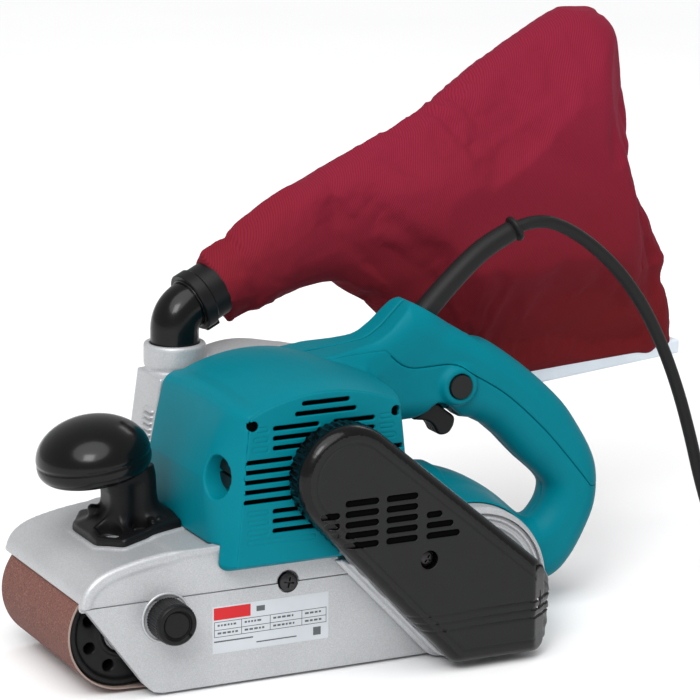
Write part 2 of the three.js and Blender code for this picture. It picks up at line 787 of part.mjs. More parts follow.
// ---------------------------------------------------------------- motor parts
function addMotor() {
  const bearingNear = nearY + wall + 0.9;
  const rearBearing = housingFar - 6.5;
  const stator = cut(
    rodY(motorX, motorZ, statorRadius, -44, -0.5, 36),
    rodY(motorX, motorZ, armatureRadius + 1, -45, 1, 28),
  );
  piece("stator", stator, darkSteel);
  const shaft = rodY(motorX, motorZ, motorShaftRadius, coverY + 4, housingFar + 26, 16);
  piece("motor_shaft", shaft, steel);
  const core = cut(
    rodY(motorX, motorZ, armatureRadius, -42, -2, 28),
    rodY(motorX, motorZ, motorShaftRadius + gap, -43, -1, 16),
  );
  piece("armature_core", core, copper);
  const commutator = cut(
    rodY(motorX, motorZ, commutatorRadius, brushY - 7, brushY + 7, 24),
    rodY(motorX, motorZ, motorShaftRadius + gap, brushY - 8, brushY + 8, 16),
  );
  piece("commutator", commutator, copper);
  const rings = [
    ["motor_bearing_near", bearingNear],
    ["motor_bearing_far", rearBearing],
  ];
  for (const [name, y] of rings) {
    const ring = bearing(motorX, motorZ, motorShaftRadius + gap, bearingRadius, y, y + bearingWidth);
    piece(name, ring, steel);
  }
  for (const [name, side] of [
    ["brush_front", -1],
    ["brush_rear", 1],
  ]) {
    const near = motorX + side * (commutatorRadius + gap);
    const far = motorX + side * 30;
    const block = [Math.min(near, far), Math.max(near, far)];
    piece(name, box(...block, brushY - 3.5, brushY + 3.5, motorZ - 4, motorZ + 4), graphite);
  }
  const caps = [
    ["brush_cap_front", -1, motorX - housingNose + 10],
    ["brush_cap_rear", 1, motorX + housingTail - 10],
  ];
  for (const [name, side, faceX] of caps) {
    const far = faceX - side * 9;
    const [low, high] = [Math.min(faceX, far), Math.max(faceX, far)];
    const disc = rodX(brushY, motorZ, capRadius, low, high, 20);
    const slotLow = Math.min(faceX - side * 2, faceX + side);
    const slot = box(slotLow, slotLow + 3, brushY - 9, brushY + 9, motorZ - 0.9, motorZ + 0.9);
    piece(name, cut(disc, slot), blackPlastic);
  }
}

// ---------------------------------------------------------------- toothed-belt drive
function addDrive() {
  const y0 = driveMid - driveBeltWidth / 2;
  const y1 = driveMid + driveBeltWidth / 2;
  const wheel = (x, z, radius, bore) =>
    cut(
      join(
        rodY(x, z, radius, y0 - 1, y1 + 1, 28),
        rodY(x, z, radius + driveBeltThickness, y1 + 0.4, y1 + 1.4, 28),
      ),
      rodY(x, z, bore + gap, y0 - 3, y1 + 4, 16),
    );
  piece("small_pulley", wheel(motorX, motorZ, smallPulley, motorShaftRadius), darkSteel);
  piece("large_pulley", wheel(rearX, rollerZ, largePulley, driveShaftRadius), darkSteel);
  const runs = [
    [motorX, motorZ, smallPulley + gap + driveBeltThickness],
    [rearX, rollerZ, largePulley + gap + driveBeltThickness],
  ];
  piece("drive_belt", beltLoop(runs, driveBeltThickness, y0, y1, 32), rubber);
}

function coverSlots() {
  const pitch = 5.9;
  const height = 2.6;
  const columns = [
    [-18, -7.5, [1, 2]],
    [-4, 15.5, [0, 1, 2, 3, 4]],
    [20.5, 39, [0, 1, 2, 3, 4]],
    [45, 57, [2, 3, 4]],
  ];
  const cuts = [];
  for (const [x0, x1, rows] of columns) {
    for (const row of rows) {
      const z = motorZ - 12.5 - row * pitch;
      cuts.push(box(motorX + x0, motorX + x1, coverY - 1, coverY + 5, z, z + height));
    }
  }
  return cuts;
}

function addDriveCover() {
  const back = seatY - gap;
  const crown = { thickness: 6, size: 6, segments: 2 };
  const deep = { thickness: 2, size: 2, segments: 1 };
  const blank = slabY(hullOfCircles(coverCircles), coverY, back + 6, crown);
  const body = blank.intersect(box(-200, 300, coverY - 1, back, -20, 300));
  const hollow = slabY(hullOfCircles(coverCircles, -2.6), coverY + 3, back + 20, deep);
  const screwWell = rodY(...coverScrew, 8, coverY + 0.4, coverY + 6, 20);
  const cover = cut(
    join(cut(body, hollow), screwWell),
    rodY(...coverScrew, 5.3, coverY - 1, coverY + 4.4, 20),
    rodY(...coverScrew, 2.4, coverY, coverY + 8, 12),
    ...coverSlots(),
  );
  piece("drive_cover", cover, coverPlastic);
  const screw = join(
    rodY(...coverScrew, 4.6, coverY + 1.6, coverY + 4, 16),
    rodY(...coverScrew, 2, coverY + 3.9, coverY + 22, 12),
  );
  piece("drive_cover_screw", screw, darkSteel);
}

// ---------------------------------------------------------------- blower
function blowerOutline(grow) {
  return hullOfCircles([[motorX + 2, motorZ - 4, blowerRadius]], grow, 36);
}

function stackOutline(grow) {
  const top = deckZ + outletHeight - 16;
  return [
    [outletX - 30 - grow, deckZ - 20],
    [outletX + 20 + grow, deckZ - 20],
    [outletX + 17 + grow, top],
    [outletX - 17 - grow, top],
  ];
}

function addBlower() {
  const y0 = housingFar + gap;
  const y1 = blowerFar;
  const soft = { thickness: 4, size: 4, segments: 1 };
  const top = deckZ + outletHeight;
  const aboveDeck = box(-200, 200, y0, y1 + 2, deckZ + gap, top);
  const duct = slabY(stackOutline(0), y0, y1 + 1.5, soft);
  const scroll = slabY(blowerOutline(0), y0 - 6, y1, soft);
  const collar = join(
    rodZ(outletX, outletY, outletRadius, top - 14, top, 28),
    rodZ(outletX, outletY, outletRadius - 1.5, top - 22, top - 12, 28),
  ).intersect(box(-200, 200, y0, 200, 0, 400));
  const scrollRoom = slabY(blowerOutline(-wall), y0 - 1, y1 - wall);
  const ductRoom = slabY(stackOutline(-wall), y0 + wall, y1 - wall).intersect(
    box(-200, 200, y0, y1, deckZ + gap + wall, top - 19),
  );
  const floor = box(-200, 200, y0 - 2, y1 + 4, deckZ, deckZ + gap + wall);
  const room = cut(join(scrollRoom, ductRoom), floor);
  const dustInlet = box(motorX - 20, motorX + 30, 36, 50, deckZ - 1, deckZ + 8);
  const mouth = rodZ(outletX, outletY, elbowRadius + gap, top - 21, top + 1, 24);
  const shell = cut(
    join(duct.intersect(aboveDeck), scroll.intersect(aboveDeck), collar),
    room,
    mouth,
    dustInlet,
  );
  piece("blower_housing", shell, castGrey);

  const baffle = cut(
    join(
      rodY(motorX, motorZ, 35, y0 + 0.2, y0 + 3.2, 28),
      rodY(motorX, motorZ, bearingRadius + 4, housingFar - 8, y0 + 1),
    ),
    rodY(motorX, motorZ, bearingRadius + gap, housingFar - 9, housingFar + 0.8),
    rodY(motorX, motorZ, motorShaftRadius + 1, housingFar - 9, y0 + 5, 16),
  );
  piece("fan_baffle", baffle, blackPlastic);

  const fanNear = y0 + 7;
  const blades = [];
  const bladeCount = 10;
  for (let i = 0; i < bladeCount; i += 1) {
    const blade = new THREE.BoxGeometry(2, 15, fanRadius - 11);
    blade.translate(0, fanNear + 9, 10 + (fanRadius - 11) / 2);
    blade.rotateY((2 * Math.PI * i) / bladeCount);
    blade.translate(motorX, 0, motorZ);
    blades.push(solid(blade));
  }
  const fan = cut(
    join(
      rodY(motorX, motorZ, fanRadius, fanNear, fanNear + 2, 32),
      rodY(motorX, motorZ, 11, fanNear, fanNear + 17),
      ...blades,
    ),
    rodY(motorX, motorZ, motorShaftRadius + gap, fanNear - 1, fanNear + 18, 16),
  );
  piece("fan", fan, coverPlastic);
}

// ---------------------------------------------------------------- handle
const seamLine = [
  [motorX + 63, deckZ + 86],
  [motorX + 77.5, deckZ + 75],
  [rearX + 8.5, deckZ + 74],
  [rearX + 20.5, deckZ + 67.5],
  [rearX + 44, deckZ + 52.5],
  [rearX + 68.5, deckZ + 30],
  [rearX + 87, deckZ + 9],
  [rearX + 101, deckZ - 8],
];

function handleOutline() {
  return [
    [motorX + 24, deckZ + 92.5],
    [motorX + 52, deckZ + 95],
    [motorX + 64, deckZ + 101],
    [motorX + 76, deckZ + 110.5],
    [motorX + 83, deckZ + 111],
    [rearX + 7.5, deckZ + 98],
    [rearX + 15.5, deckZ + 94],
    [rearX + 39, deckZ + 81.5],
    [rearX + 64, deckZ + 63],
    [rearX + 84.5, deckZ + 44],
    [rearX + 96, deckZ + 28.5],
    [rearX + 106, deckZ + 11],
    [rearX + 109.5, deckZ - 3],
    [rearX + 108.5, deckZ - 20],
    [rearX + 102, deckZ - 36],
    [rearX + 92, deckZ - 52],
    [rearX + 80, deckZ - 62],
    [rearX + 60, deckZ - 66],
    [rearX + 44, deckZ - 64],
    [rearX + 30, deckZ - 30],
    [rearX - 6, deckZ + 1],
    [motorX + 57.5, deckZ + gap],
    [motorX + 40, deckZ + 20],
    [motorX + 20, deckZ + 60],
  ];
}

// The finger opening, open to the housing's rear face but for a thin flange.
function fingerHole() {
  return [
    [motorX + 62, deckZ + 42],
    [rearX + 25, deckZ + 39],
    [rearX + 60, deckZ + 10],
    [rearX + 74, deckZ - 3],
    [rearX + 77, deckZ - 10.5],
    [rearX + 73, deckZ - 20],
    [rearX + 64, deckZ - 24.5],
    [rearX + 42, deckZ - 10.5],
    [rearX + 8, deckZ + 4],
    [motorX + 72, deckZ + 10],
    [motorX + 62, deckZ + 15],
  ];
}

function addHandle() {
  const room = gap;
  const soft = { thickness: 8, size: 8, segments: 2 };
  const whole = cut(
    slabY(handleOutline(), -halfHandle, halfHandle, soft),
    slabY(fingerHole(), -halfHandle - 1, halfHandle + 1),
    slabY(hullOfCircles(housingCircles, room), nearY, housingFar + 5),
    rodY(rearX, rollerZ, fenderRadius + room, -80, 80, 48),
  );
  const [guardAt, guardAim] = [cordRoute[0], guardDirection];
  const guardHole = new THREE.CylinderGeometry(7.4, 7.4, 60, 16);
  guardHole.rotateZ(-Math.PI / 2).rotateY(-guardAim);
  guardHole.translate(guardAt.x + 18 * Math.cos(guardAim), 0, guardAt.z + 18 * Math.sin(guardAim));
  const triggerRoom = box(rearX - 18, rearX + 20, -7.5, 7.5, deckZ + 30, deckZ + 62);
  const switchRoom = box(rearX - 18, rearX + 22, -11, 11, deckZ + 53, deckZ + 82);
  const lockRoom = rodY(...lockAt, lockRadius + gap, -halfHandle - 4, 0, 20);
  const lockRing = rodY(...lockAt, 11, -halfHandle - 3.4, -halfHandle + 6, 24);
  const hollow = join(triggerRoom, switchRoom, lockRoom, solid(guardHole));
  const upper = slabY(
    [
      ...seamLine,
      [rearX + 160, deckZ - 8],
      [rearX + 160, deckZ + 160],
      [motorX, deckZ + 160],
      [motorX, deckZ + 86],
    ],
    -halfHandle - 5,
    halfHandle + 5,
  );
  const lower = slabY(
    [
      ...seamLine.map(([x, z]) => [x - 0.15, z - 0.3]),
      [rearX + 160, deckZ - 8.3],
      [rearX + 160, -20],
      [motorX - 10, -20],
      [motorX - 10, deckZ + 85.7],
    ],
    -halfHandle - 5,
    halfHandle + 5,
  );
  const body = cut(join(whole, lockRing), hollow);
  const cover = body.intersect(upper);
  const grip = body.intersect(lower);
  const nearSide = box(-100, 400, -halfHandle - 5, -gap / 2, -50, 400);
  const farSide = box(-100, 400, gap / 2, halfHandle + 5, -50, 400);
  piece("handle_near_half", grip.intersect(nearSide), teal);
  piece("handle_far_half", grip.intersect(farSide), teal);
  piece("handle_cover", cover, teal);
}

function addSwitchGear() {
  const [lockX, lockZ] = lockAt;
  const triggerPoints = [
    [rearX - 14, deckZ + 40],
    [rearX - 15.5, deckZ + 50],
    [rearX + 14, deckZ + 50],
    [rearX + 17, deckZ + 42],
    [rearX + 12, deckZ + 36],
    [rearX + 8, deckZ + 32],
    [rearX + 4, deckZ + 32.5],
    [rearX + 1, deckZ + 37],
    [rearX - 5, deckZ + 40],
  ];
  piece("trigger", slabY(triggerPoints, -7, 7), coverPlastic);
  const body = box(rearX - 16, rearX + 20, -10.5, 10.5, deckZ + 54, deckZ + 81);
  const lockSlot = rodY(lockX, lockZ, lockRadius + gap, -11, -5, 20);
  piece("switch_body", cut(body, lockSlot), blackPlastic);
  piece(
    "lock_button",
    rodY(lockX, lockZ, lockRadius, -halfHandle - 4.5, -9, 20),
    coverPlastic,
  );
}

// ---------------------------------------------------------------- front grip
function addFrontGrip() {
  const gripX = frontX + 3.5;
  const groove = deckZ + 36;
  const steps = 6;
  const profile = [
    [0, groove - 11],
    [15, groove - 10.5],
    [25, groove - 7.5],
    [30.5, groove - 3.5],
    [gripRadius, groove - 0.8],
  ];
  for (let i = 1; i <= steps; i += 1) {
    const angle = (Math.PI / 2) * (i / steps);
    profile.push([
      Math.max(gripRadius * Math.cos(angle), 0),
      groove + 27.7 * Math.sin(angle),
    ]);
  }
  const cap = solid(turned(profile, 24).translate(gripX, 0, 0));

  // The foot: a tapered plate on the roof and a leaning column under the ball.
  const plate = slabZ(
    [
      [gripX - 10.5, -28],
      [gripX + 16, -26],
      [gripX + 41, -18],
      [gripX + 43.5, -6],
      [gripX + 43.5, 6],
      [gripX + 41, 18],
      [gripX + 16, 26],
      [gripX - 10.5, 28],
    ],
    deckZ - 12,
    deckZ + 3.5,
  );
  const column = slabY(
    [
      [gripX + 6, deckZ + 28],
      [gripX + 8, deckZ + 18],
      [gripX + 3, deckZ + 8],
      [gripX - 4, deckZ - 4],
      [gripX + 43, deckZ - 4],
      [gripX + 43, deckZ + 3],
      [gripX + 35, deckZ + 12],
      [gripX + 29, deckZ + 28],
    ],
    -17,
    17,
    { thickness: 6, size: 5, segments: 2 },
  );
  const roofBelow = slabY(
    [...roofLine().map(([x, z]) => [x, z + gap]), [motorX, deckZ + gap], [motorX, 0], [frontX - 30, 0]],
    -60,
    60,
  );
  const underBall = cut(column, roofBelow);
  const limit = box(-300, 100, -50, 50, 0, groove - 11 - gap);
  const foot = join(cut(plate, roofBelow), underBall.intersect(limit));
  const housingRoom = box(motorX - housingNose - gap, motorX, -60, 60, 0, 300);
  piece("grip_ball", cap, blackPlastic);
  piece("grip_foot", cut(foot, housingRoom), blackPlastic);
}

// ---------------------------------------------------------------- dust elbow and bag
function addElbowAndBag() {
  const turnAngle = (bagTurn * Math.PI) / 180;
  const ahead = [Math.cos(turnAngle), Math.sin(turnAngle)];
  const lift = Math.tan((24 * Math.PI) / 180);
  const cornerZ = deckZ + outletHeight + 16.3;
  const along = (reach, rise) =>
    new THREE.Vector3(outletX + reach * ahead[0], outletY + reach * ahead[1], cornerZ + rise);
  const path = new THREE.CurvePath();
  path.add(new THREE.LineCurve3(along(0, -35), along(0, -12)));
  path.add(new THREE.QuadraticBezierCurve3(along(0, -12), along(0, 0), along(12, 12 * lift)));
  path.add(new THREE.LineCurve3(along(12, 12 * lift), along(28, 28 * lift)));
  const section = outline(hullOfCircles([[0, 0, elbowRadius]], 0, 16));
  const bore = outline(hullOfCircles([[0, 0, elbowRadius - 2.5]], 0, 12));
  section.holes.push(new THREE.Path(bore.getPoints().reverse()));
  const elbow = new THREE.ExtrudeGeometry(section, {
    steps: 10,
    bevelEnabled: false,
    extrudePath: path,
  });
  piece("dust_elbow", elbow, blackPlastic);

  // Everything on the bag lies along the elbow's outlet.
  const bagGroup = new THREE.Group();
  bagGroup.position.set(outletX, outletY, 0);
  bagGroup.rotation.z = turnAngle;
  sander.add(bagGroup);
  const cuffAxis = Math.atan(lift);
  const cuffStart = 12;
  const cuffEnd = 40;
  const cuff = turned([
    [elbowRadius + gap, cuffStart],
    [cuffRadius, cuffStart],
    [cuffRadius, cuffEnd],
    [elbowRadius + gap, cuffEnd],
    [elbowRadius + gap, cuffStart],
  ]);
  cuff.rotateY(Math.PI / 2 - cuffAxis);
  cuff.translate(0, 0, cornerZ);
  piece("bag_cuff", solid(cuff), blackPlastic, bagGroup);

  const bagPoints = [
    [24, cornerZ + 24],
    [45, cornerZ + 39],
    [95, cornerZ + 63],
    [145, cornerZ + 85],
    [202, cornerZ + 117],
    [268, cornerZ + 148],
    [290, cornerZ + 146],
    [305, cornerZ + 132],
    [317, cornerZ + 105],
    [333, cornerZ + 52],
    [346, cornerZ - 18],
    [359, cornerZ - 62],
    [188, cornerZ - 66],
    [134, cornerZ - 26],
    [109, cornerZ],
    [82, cornerZ + 4],
    [44, cornerZ - 6],
    [36, cornerZ - 8],
  ];
  const middle = [230, cornerZ + 30];
  const drawnIn = (share) =>
    bagPoints.map(([x, z]) => [
      x + share * (middle[0] - x) * Math.min(1, (x - 20) / 120),
      z + share * (middle[1] - z),
    ]);
  const fullAt = 150; // where the bag has widened from its neck to its full thickness
  const halfThickness = (x) => {
    const share = Math.min(Math.max(x - cuffEnd, 0) / (fullAt - cuffEnd), 1);
    return bagNeck + share * (bagThickness / 2 - bagNeck);
  };
  const levels = [-1, -0.8, -0.35, 0.35, 0.8, 1];
  const bag = loftY([0.34, 0.14, 0, 0, 0.14, 0.34].map(drawnIn), levels, halfThickness);
  const roomRadius = cuffRadius + 2 * gap;
  const cuffRoom = turned([
    [0, -10],
    [roomRadius, -10],
    [roomRadius, cuffEnd + gap],
    [0, cuffEnd + gap],
  ]);
  cuffRoom.rotateY(Math.PI / 2 - cuffAxis);
  cuffRoom.translate(0, 0, cornerZ);
  piece("dust_bag", cut(bag, solid(cuffRoom)), cloth, bagGroup);
  const rail = slabY(
    [
      [184, cornerZ - 76],
      [365, cornerZ - 68],
      [365, cornerZ - 59],
      [184, cornerZ - 66.5],
    ],
    -7,
    7,
  );
  const groove = slabY(bagPoints, -bagThickness, bagThickness);
  piece("bag_rail", cut(rail, groove), railWhite, bagGroup);
}

// ---------------------------------------------------------------- cord
const guardDirection = (43 * Math.PI) / 180;
// The cord's centreline in mm: through its sleeve, over in an arch and down to the surface.
const cordRoute = [
  [100, 0, 178.5],
  [118, 0, 196.2],
  [138, 0, 212.6],
  [160, 0, 223.6],
  [167, 0, 225.4],
  [175, 0, 225.8],
  [184, 0, 224.2],
  [197, 0, 218],
  [212, 0, 207.4],
  [227, 0, 193.4],
  [240, 0, 177.6],
  [251, 0, 160.4],
  [262, 0, 138.8],
  [272.5, 0, 114],
  [282.3, 0, 88],
  [291.5, 0, 62],
  [300.5, 0, 39.5],
  [310, 0, 20.5],
  [320, 0, 8.8],
  [331, 0, 4],
].map(([x, y, z]) => new THREE.Vector3(x, y, z));

const sleevePoints = 4;

function addCord() {
  const sleeveCurve = new THREE.CatmullRomCurve3(cordRoute.slice(0, sleevePoints));
  const sleeveSolid = (radius, steps, from, to) => {
    const part = [];
    for (let i = 0; i <= steps; i += 1) {
      part.push(sleeveCurve.getPointAt(from + ((to - from) * i) / steps));
    }
    return new THREE.ExtrudeGeometry(outline(hullOfCircles([[0, 0, radius]], 0, 14)), {
      steps,
      bevelEnabled: false,
      extrudePath: new THREE.CatmullRomCurve3(part),
    });
  };
  const sleeve = join(
    solid(sleeveSolid(6.3, 8, 0, 1)),
    solid(sleeveSolid(7.6, 1, 0.955, 0.995)),
  );
  const cordCurve = new THREE.CatmullRomCurve3(cordRoute.slice(sleevePoints - 1));
  const straight = cordCurve.getLength();
  const sample = [];
  const count = 24;
  for (let i = 0; i <= count; i += 1) {
    const at = 1.5 / straight + ((1 - 1.5 / straight) * i) / count;
    sample.push(cordCurve.getPointAt(Math.min(at, 1)));
  }
  const tube = new THREE.ExtrudeGeometry(
    outline(hullOfCircles([[0, 0, cordDiameter / 2]], 0, 10)),
    { steps: count, bevelEnabled: false, extrudePath: new THREE.CatmullRomCurve3(sample) },
  );
  piece("cord_guard", sleeve, rubber);
  piece("cord", tube, rubber);
  const coil = turned(
    [
      [coilInner, 0],
      [coilOuter, 0],
      [coilOuter, coilHeight],
      [coilInner, coilHeight],
      [coilInner, 0],
    ],
    32,
  );
  piece("cord_coil", coil.translate(coilX, coilY, 0), rubber);
  addPlug();
}

function addPlug() {
  const y = coilY - (coilInner + coilOuter) / 2;
  const z0 = coilHeight + gap;
  const bodyOutline = [
    [coilX - 22, y - 6],
    [coilX - 12, y - 9],
    [coilX + 14, y - 14],
    [coilX + 22, y - 14],
    [coilX + 22, y + 14],
    [coilX + 14, y + 14],
    [coilX - 12, y + 9],
    [coilX - 22, y + 6],
  ];
  piece("plug_body", slabZ(bodyOutline, z0, z0 + 17, { thickness: 3, size: 3, segments: 1 }), rubber);
  for (const [name, side] of [
    ["plug_blade_near", -1],
    ["plug_blade_far", 1],
  ]) {
    const blade = box(
      coilX + 22 + gap,
      coilX + 39,
      y + side * 6.35 - 0.8,
      y + side * 6.35 + 0.8,
      z0 + 5.3,
      z0 + 11.7,
    );
    piece(name, blade, brass);
  }
}

// ---------------------------------------------------------------- assembly
const steelTop = addBeltAndSole();
addFrontRoller();
const yoke = addYokeAndTension();
addDriveRoller();
addFrame(steelTop, yoke);
addSidePlate();
addFender();
addTrackingKnob();
addHousing();
addEndCover();
addMotor();
addDrive();
addDriveCover();
addBlower();
addHandle();
addSwitchGear();
addFrontGrip();
addElbowAndBag();
addCord();

export default sander;
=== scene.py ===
"""Visual model of a handheld belt sander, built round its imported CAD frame."""

import json
import math
import random

import bmesh
import bpy
import numpy as np
from mathutils import Matrix, Vector


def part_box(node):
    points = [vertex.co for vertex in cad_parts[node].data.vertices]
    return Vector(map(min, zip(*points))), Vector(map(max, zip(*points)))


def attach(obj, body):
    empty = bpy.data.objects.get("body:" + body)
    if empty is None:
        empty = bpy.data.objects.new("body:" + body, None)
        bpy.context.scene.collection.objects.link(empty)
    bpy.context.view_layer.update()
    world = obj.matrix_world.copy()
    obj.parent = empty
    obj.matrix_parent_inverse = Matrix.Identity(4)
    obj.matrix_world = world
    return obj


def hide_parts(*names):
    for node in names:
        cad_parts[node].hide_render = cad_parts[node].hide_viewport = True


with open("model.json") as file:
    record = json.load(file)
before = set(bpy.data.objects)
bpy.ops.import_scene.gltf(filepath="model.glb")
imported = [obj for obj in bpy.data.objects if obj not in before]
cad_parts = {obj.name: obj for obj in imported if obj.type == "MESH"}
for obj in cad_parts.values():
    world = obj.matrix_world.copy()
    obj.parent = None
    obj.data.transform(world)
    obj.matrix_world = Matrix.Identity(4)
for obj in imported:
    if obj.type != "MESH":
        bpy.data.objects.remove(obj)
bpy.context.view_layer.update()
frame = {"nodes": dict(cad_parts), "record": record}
nodes = frame["nodes"]
MM = 0.001


def span(node):
    """Lowest and highest corners of a CAD node, in mm."""
    low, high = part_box(node)
    return [1000 * v for v in low], [1000 * v for v in high]


def middle(node):
    low, high = span(node)
    return [(a + b) / 2 for a, b in zip(low, high)]


# ------------------------------------------------------------ driving places, in mm
front_x, _, roller_z = middle("front_roller")
rear_x = middle("drive_roller")[0]
motor_x, _, motor_z = middle("motor_shaft")
deck_z = span("frame_casting")[1][2]
near_y = span("motor_housing")[0][1]
housing_far = span("motor_housing")[1][1]
plate_y = span("side_plate")[0][1]
cover_y, seat_y = span("drive_cover")[0][1], span("drive_cover")[1][1]
far_y = span("rear_fender")[1][1]
belt_radius = roller_z - 2
fender_radius = belt_radius + 15
half_handle = span("handle_far_half")[1][1]
blower_far = housing_far + 35
outlet_x, outlet_y = -31.5, 46.0
outlet_top = deck_z + 88
corner_z = outlet_top + 16.3
bag_turn = math.radians(8)
bag_lift = math.radians(24)
lock_x, lock_z = middle("lock_button")[0], middle("lock_button")[2]
grip_x, _, _ = middle("grip_ball")
groove_z = deck_z + 41
knob_x, _, knob_z = middle("tracking_knob")
cover_screw = (middle("drive_cover_screw")[0], middle("drive_cover_screw")[2])
side_screw = (middle("side_screw")[0], middle("side_screw")[2])
cord_radius = 3.75


def shift(x0, z0, *points):
    """Points of an outline, measured from a place."""
    return [(x0 + x, z0 + z) for x, z in points]


def add_to_scene(name, data):
    made = bpy.data.objects.new(name, data)
    bpy.context.scene.collection.objects.link(made)
    return made


# ------------------------------------------------------------ camera
def add_camera():
    data = bpy.data.cameras.new("camera")
    data.lens = 173.9
    data.sensor_width = 36
    data.clip_end = 20
    camera = add_to_scene("camera", data)
    right, up, back = (
        Vector((0.89631, -0.44334, 0.00882)),
        Vector((0.09589, 0.21321, 0.97229)),
        Vector((-0.43294, -0.87062, 0.23362)),
    )
    turn = Matrix((right, up, back)).transposed().to_4x4()
    camera.matrix_world = Matrix.Translation((-0.76216, -1.64348, 0.60349)) @ turn
    bpy.context.scene.camera = camera


add_camera()


# ------------------------------------------------------------ materials
def new_material(name):
    made = bpy.data.materials.new(name)
    made.use_nodes = True
    tree = made.node_tree
    return made, tree, tree.nodes["Principled BSDF"]


def node(tree, kind, **values):
    made = tree.nodes.new(kind)
    for key, value in values.items():
        if hasattr(made, key):
            setattr(made, key, value)
        else:
            made.inputs[key].default_value = value
    return made


def set_values(shader, values):
    for name, value in values.items():
        shader.inputs[name].default_value = value


def wire(tree, source, output, target, entry):
    tree.links.new(source.outputs[output], target.inputs[entry])


def noise(tree, scale, detail=3.0, rough=0.5, stretch=None):
    texture = node(tree, "ShaderNodeTexNoise", Scale=scale, Detail=detail, Roughness=rough)
    place = node(tree, "ShaderNodeTexCoord")
    if stretch is None:
        wire(tree, place, "Object", texture, "Vector")
    else:
        mapping = node(tree, "ShaderNodeMapping", Scale=stretch)
        wire(tree, place, "Object", mapping, "Vector")
        wire(tree, mapping, "Vector", texture, "Vector")
    return texture


def ramp(tree, source, stops):
    made = node(tree, "ShaderNodeValToRGB")
    table = made.color_ramp
    while len(table.elements) < len(stops):
        table.elements.new(0.5)
    for element, (at, colour) in zip(table.elements, stops):
        element.position = at
        element.color = (*colour, 1) if len(colour) == 3 else colour
    tree.links.new(source, made.inputs["Fac"])
    return made


def add_bump(tree, shader, layers):
    """layers: [(height output, strength, distance)], added one on the other."""
    before = None
    for height, strength, distance in layers:
        bump = node(tree, "ShaderNodeBump", Strength=strength, Distance=distance)
        tree.links.new(height, bump.inputs["Height"])
        if before:
            wire(tree, before, "Normal", bump, "Normal")
        before = bump
    wire(tree, before, "Normal", shader, "Normal")


def shade(colour, factor):
    return tuple(min(1, c * factor) for c in colour)


def moulded(name, colour, rough=0.42, grain=0.25, mottle=0.06, coat=0.0, spot=1800, shine=0.22):
    """Moulded plastic: fine spark grain, faint flow mottling and patchy gloss."""
    made, tree, shader = new_material(name)
    cloud = noise(tree, 22, 4, 0.6)
    stops = [(0.3, shade(colour, 1 - mottle)), (0.7, shade(colour, 1 + mottle))]
    tint = ramp(tree, cloud.outputs["Fac"], stops)
    wire(tree, tint, "Color", shader, "Base Color")
    patch = noise(tree, 60, 5, 0.65)
    gloss = node(tree, "ShaderNodeMapRange")
    set_values(gloss, {"To Min": rough - 0.06, "To Max": rough + 0.08})
    wire(tree, patch, "Fac", gloss, "Value")
    wire(tree, gloss, "Result", shader, "Roughness")
    set_values(shader, {"Specular IOR Level": shine, "Coat Weight": coat, "Coat Roughness": 0.12})
    fine = noise(tree, spot, 2, 0.5)
    add_bump(tree, shader, [(fine.outputs["Fac"], grain, 0.0002)])
    return made


def painted(name, colour):
    """Satin paint on a casting: faint orange peel, metal flake and slight dust."""
    made, tree, shader = new_material(name)
    cloud = noise(tree, 14, 5, 0.6)
    stops = [(0.35, shade(colour, 0.95)), (0.65, shade(colour, 1.04))]
    tint = ramp(tree, cloud.outputs["Fac"], stops)
    flake = node(tree, "ShaderNodeTexVoronoi", Scale=2600)
    place = node(tree, "ShaderNodeTexCoord")
    wire(tree, place, "Object", flake, "Vector")
    stops = [(0.2, (0.86, 0.86, 0.86)), (0.9, (1.08, 1.08, 1.08))]
    spark = ramp(tree, flake.outputs["Color"], stops)
    mixed = node(tree, "ShaderNodeMix", data_type="RGBA", blend_type="MULTIPLY")
    mixed.inputs["Factor"].default_value = 1
    wire(tree, tint, "Color", mixed, "A")
    wire(tree, spark, "Color", mixed, "B")
    wire(tree, mixed, "Result", shader, "Base Color")
    set_values(shader, {"Metallic": 0.35, "Roughness": 0.46})
    set_values(shader, {"Coat Weight": 0.25, "Coat Roughness": 0.3})
    peel = noise(tree, 420, 3, 0.5)
    cast = noise(tree, 1600, 2, 0.6)
    layers = [(peel.outputs["Fac"], 0.12, 0.0006), (cast.outputs["Fac"], 0.2, 0.0002)]
    add_bump(tree, shader, layers)
    return made


def metal(name, colour, rough=0.3, stretch=(1, 1, 1), strength=0.12):
    """Turned or ground metal: fine marks drawn out across the stretch."""
    made, tree, shader = new_material(name)
    marks = noise(tree, 900, 4, 0.7, stretch)
    stops = [(0.3, shade(colour, 0.85)), (0.7, shade(colour, 1.08))]
    tint = ramp(tree, marks.outputs["Fac"], stops)
    wire(tree, tint, "Color", shader, "Base Color")
    set_values(shader, {"Metallic": 1, "Roughness": rough})
    add_bump(tree, shader, [(marks.outputs["Fac"], strength, 0.0002)])
    return made


def grit(name):
    """Abrasive cloth: dense red-brown grains with pale and dark specks."""
    made, tree, shader = new_material(name)
    place = node(tree, "ShaderNodeTexCoord")
    grains = node(tree, "ShaderNodeTexVoronoi", Scale=1500)
    wire(tree, place, "Object", grains, "Vector")
    cloud = noise(tree, 1100, 3, 0.7)
    dark, middling = (0.07, 0.025, 0.02), (0.17, 0.065, 0.05)
    warm, pale = (0.23, 0.10, 0.08), (0.42, 0.26, 0.22)
    stops = [(0.25, dark), (0.5, middling), (0.62, warm), (0.8, pale)]
    tint = ramp(tree, cloud.outputs["Fac"], stops)
    wire(tree, tint, "Color", shader, "Base Color")
    shader.inputs["Roughness"].default_value = 0.85
    add_bump(
        tree,
        shader,
        [(grains.outputs["Distance"], 0.8, 0.0005), (cloud.outputs["Fac"], 0.6, 0.0005)],
    )
    return made


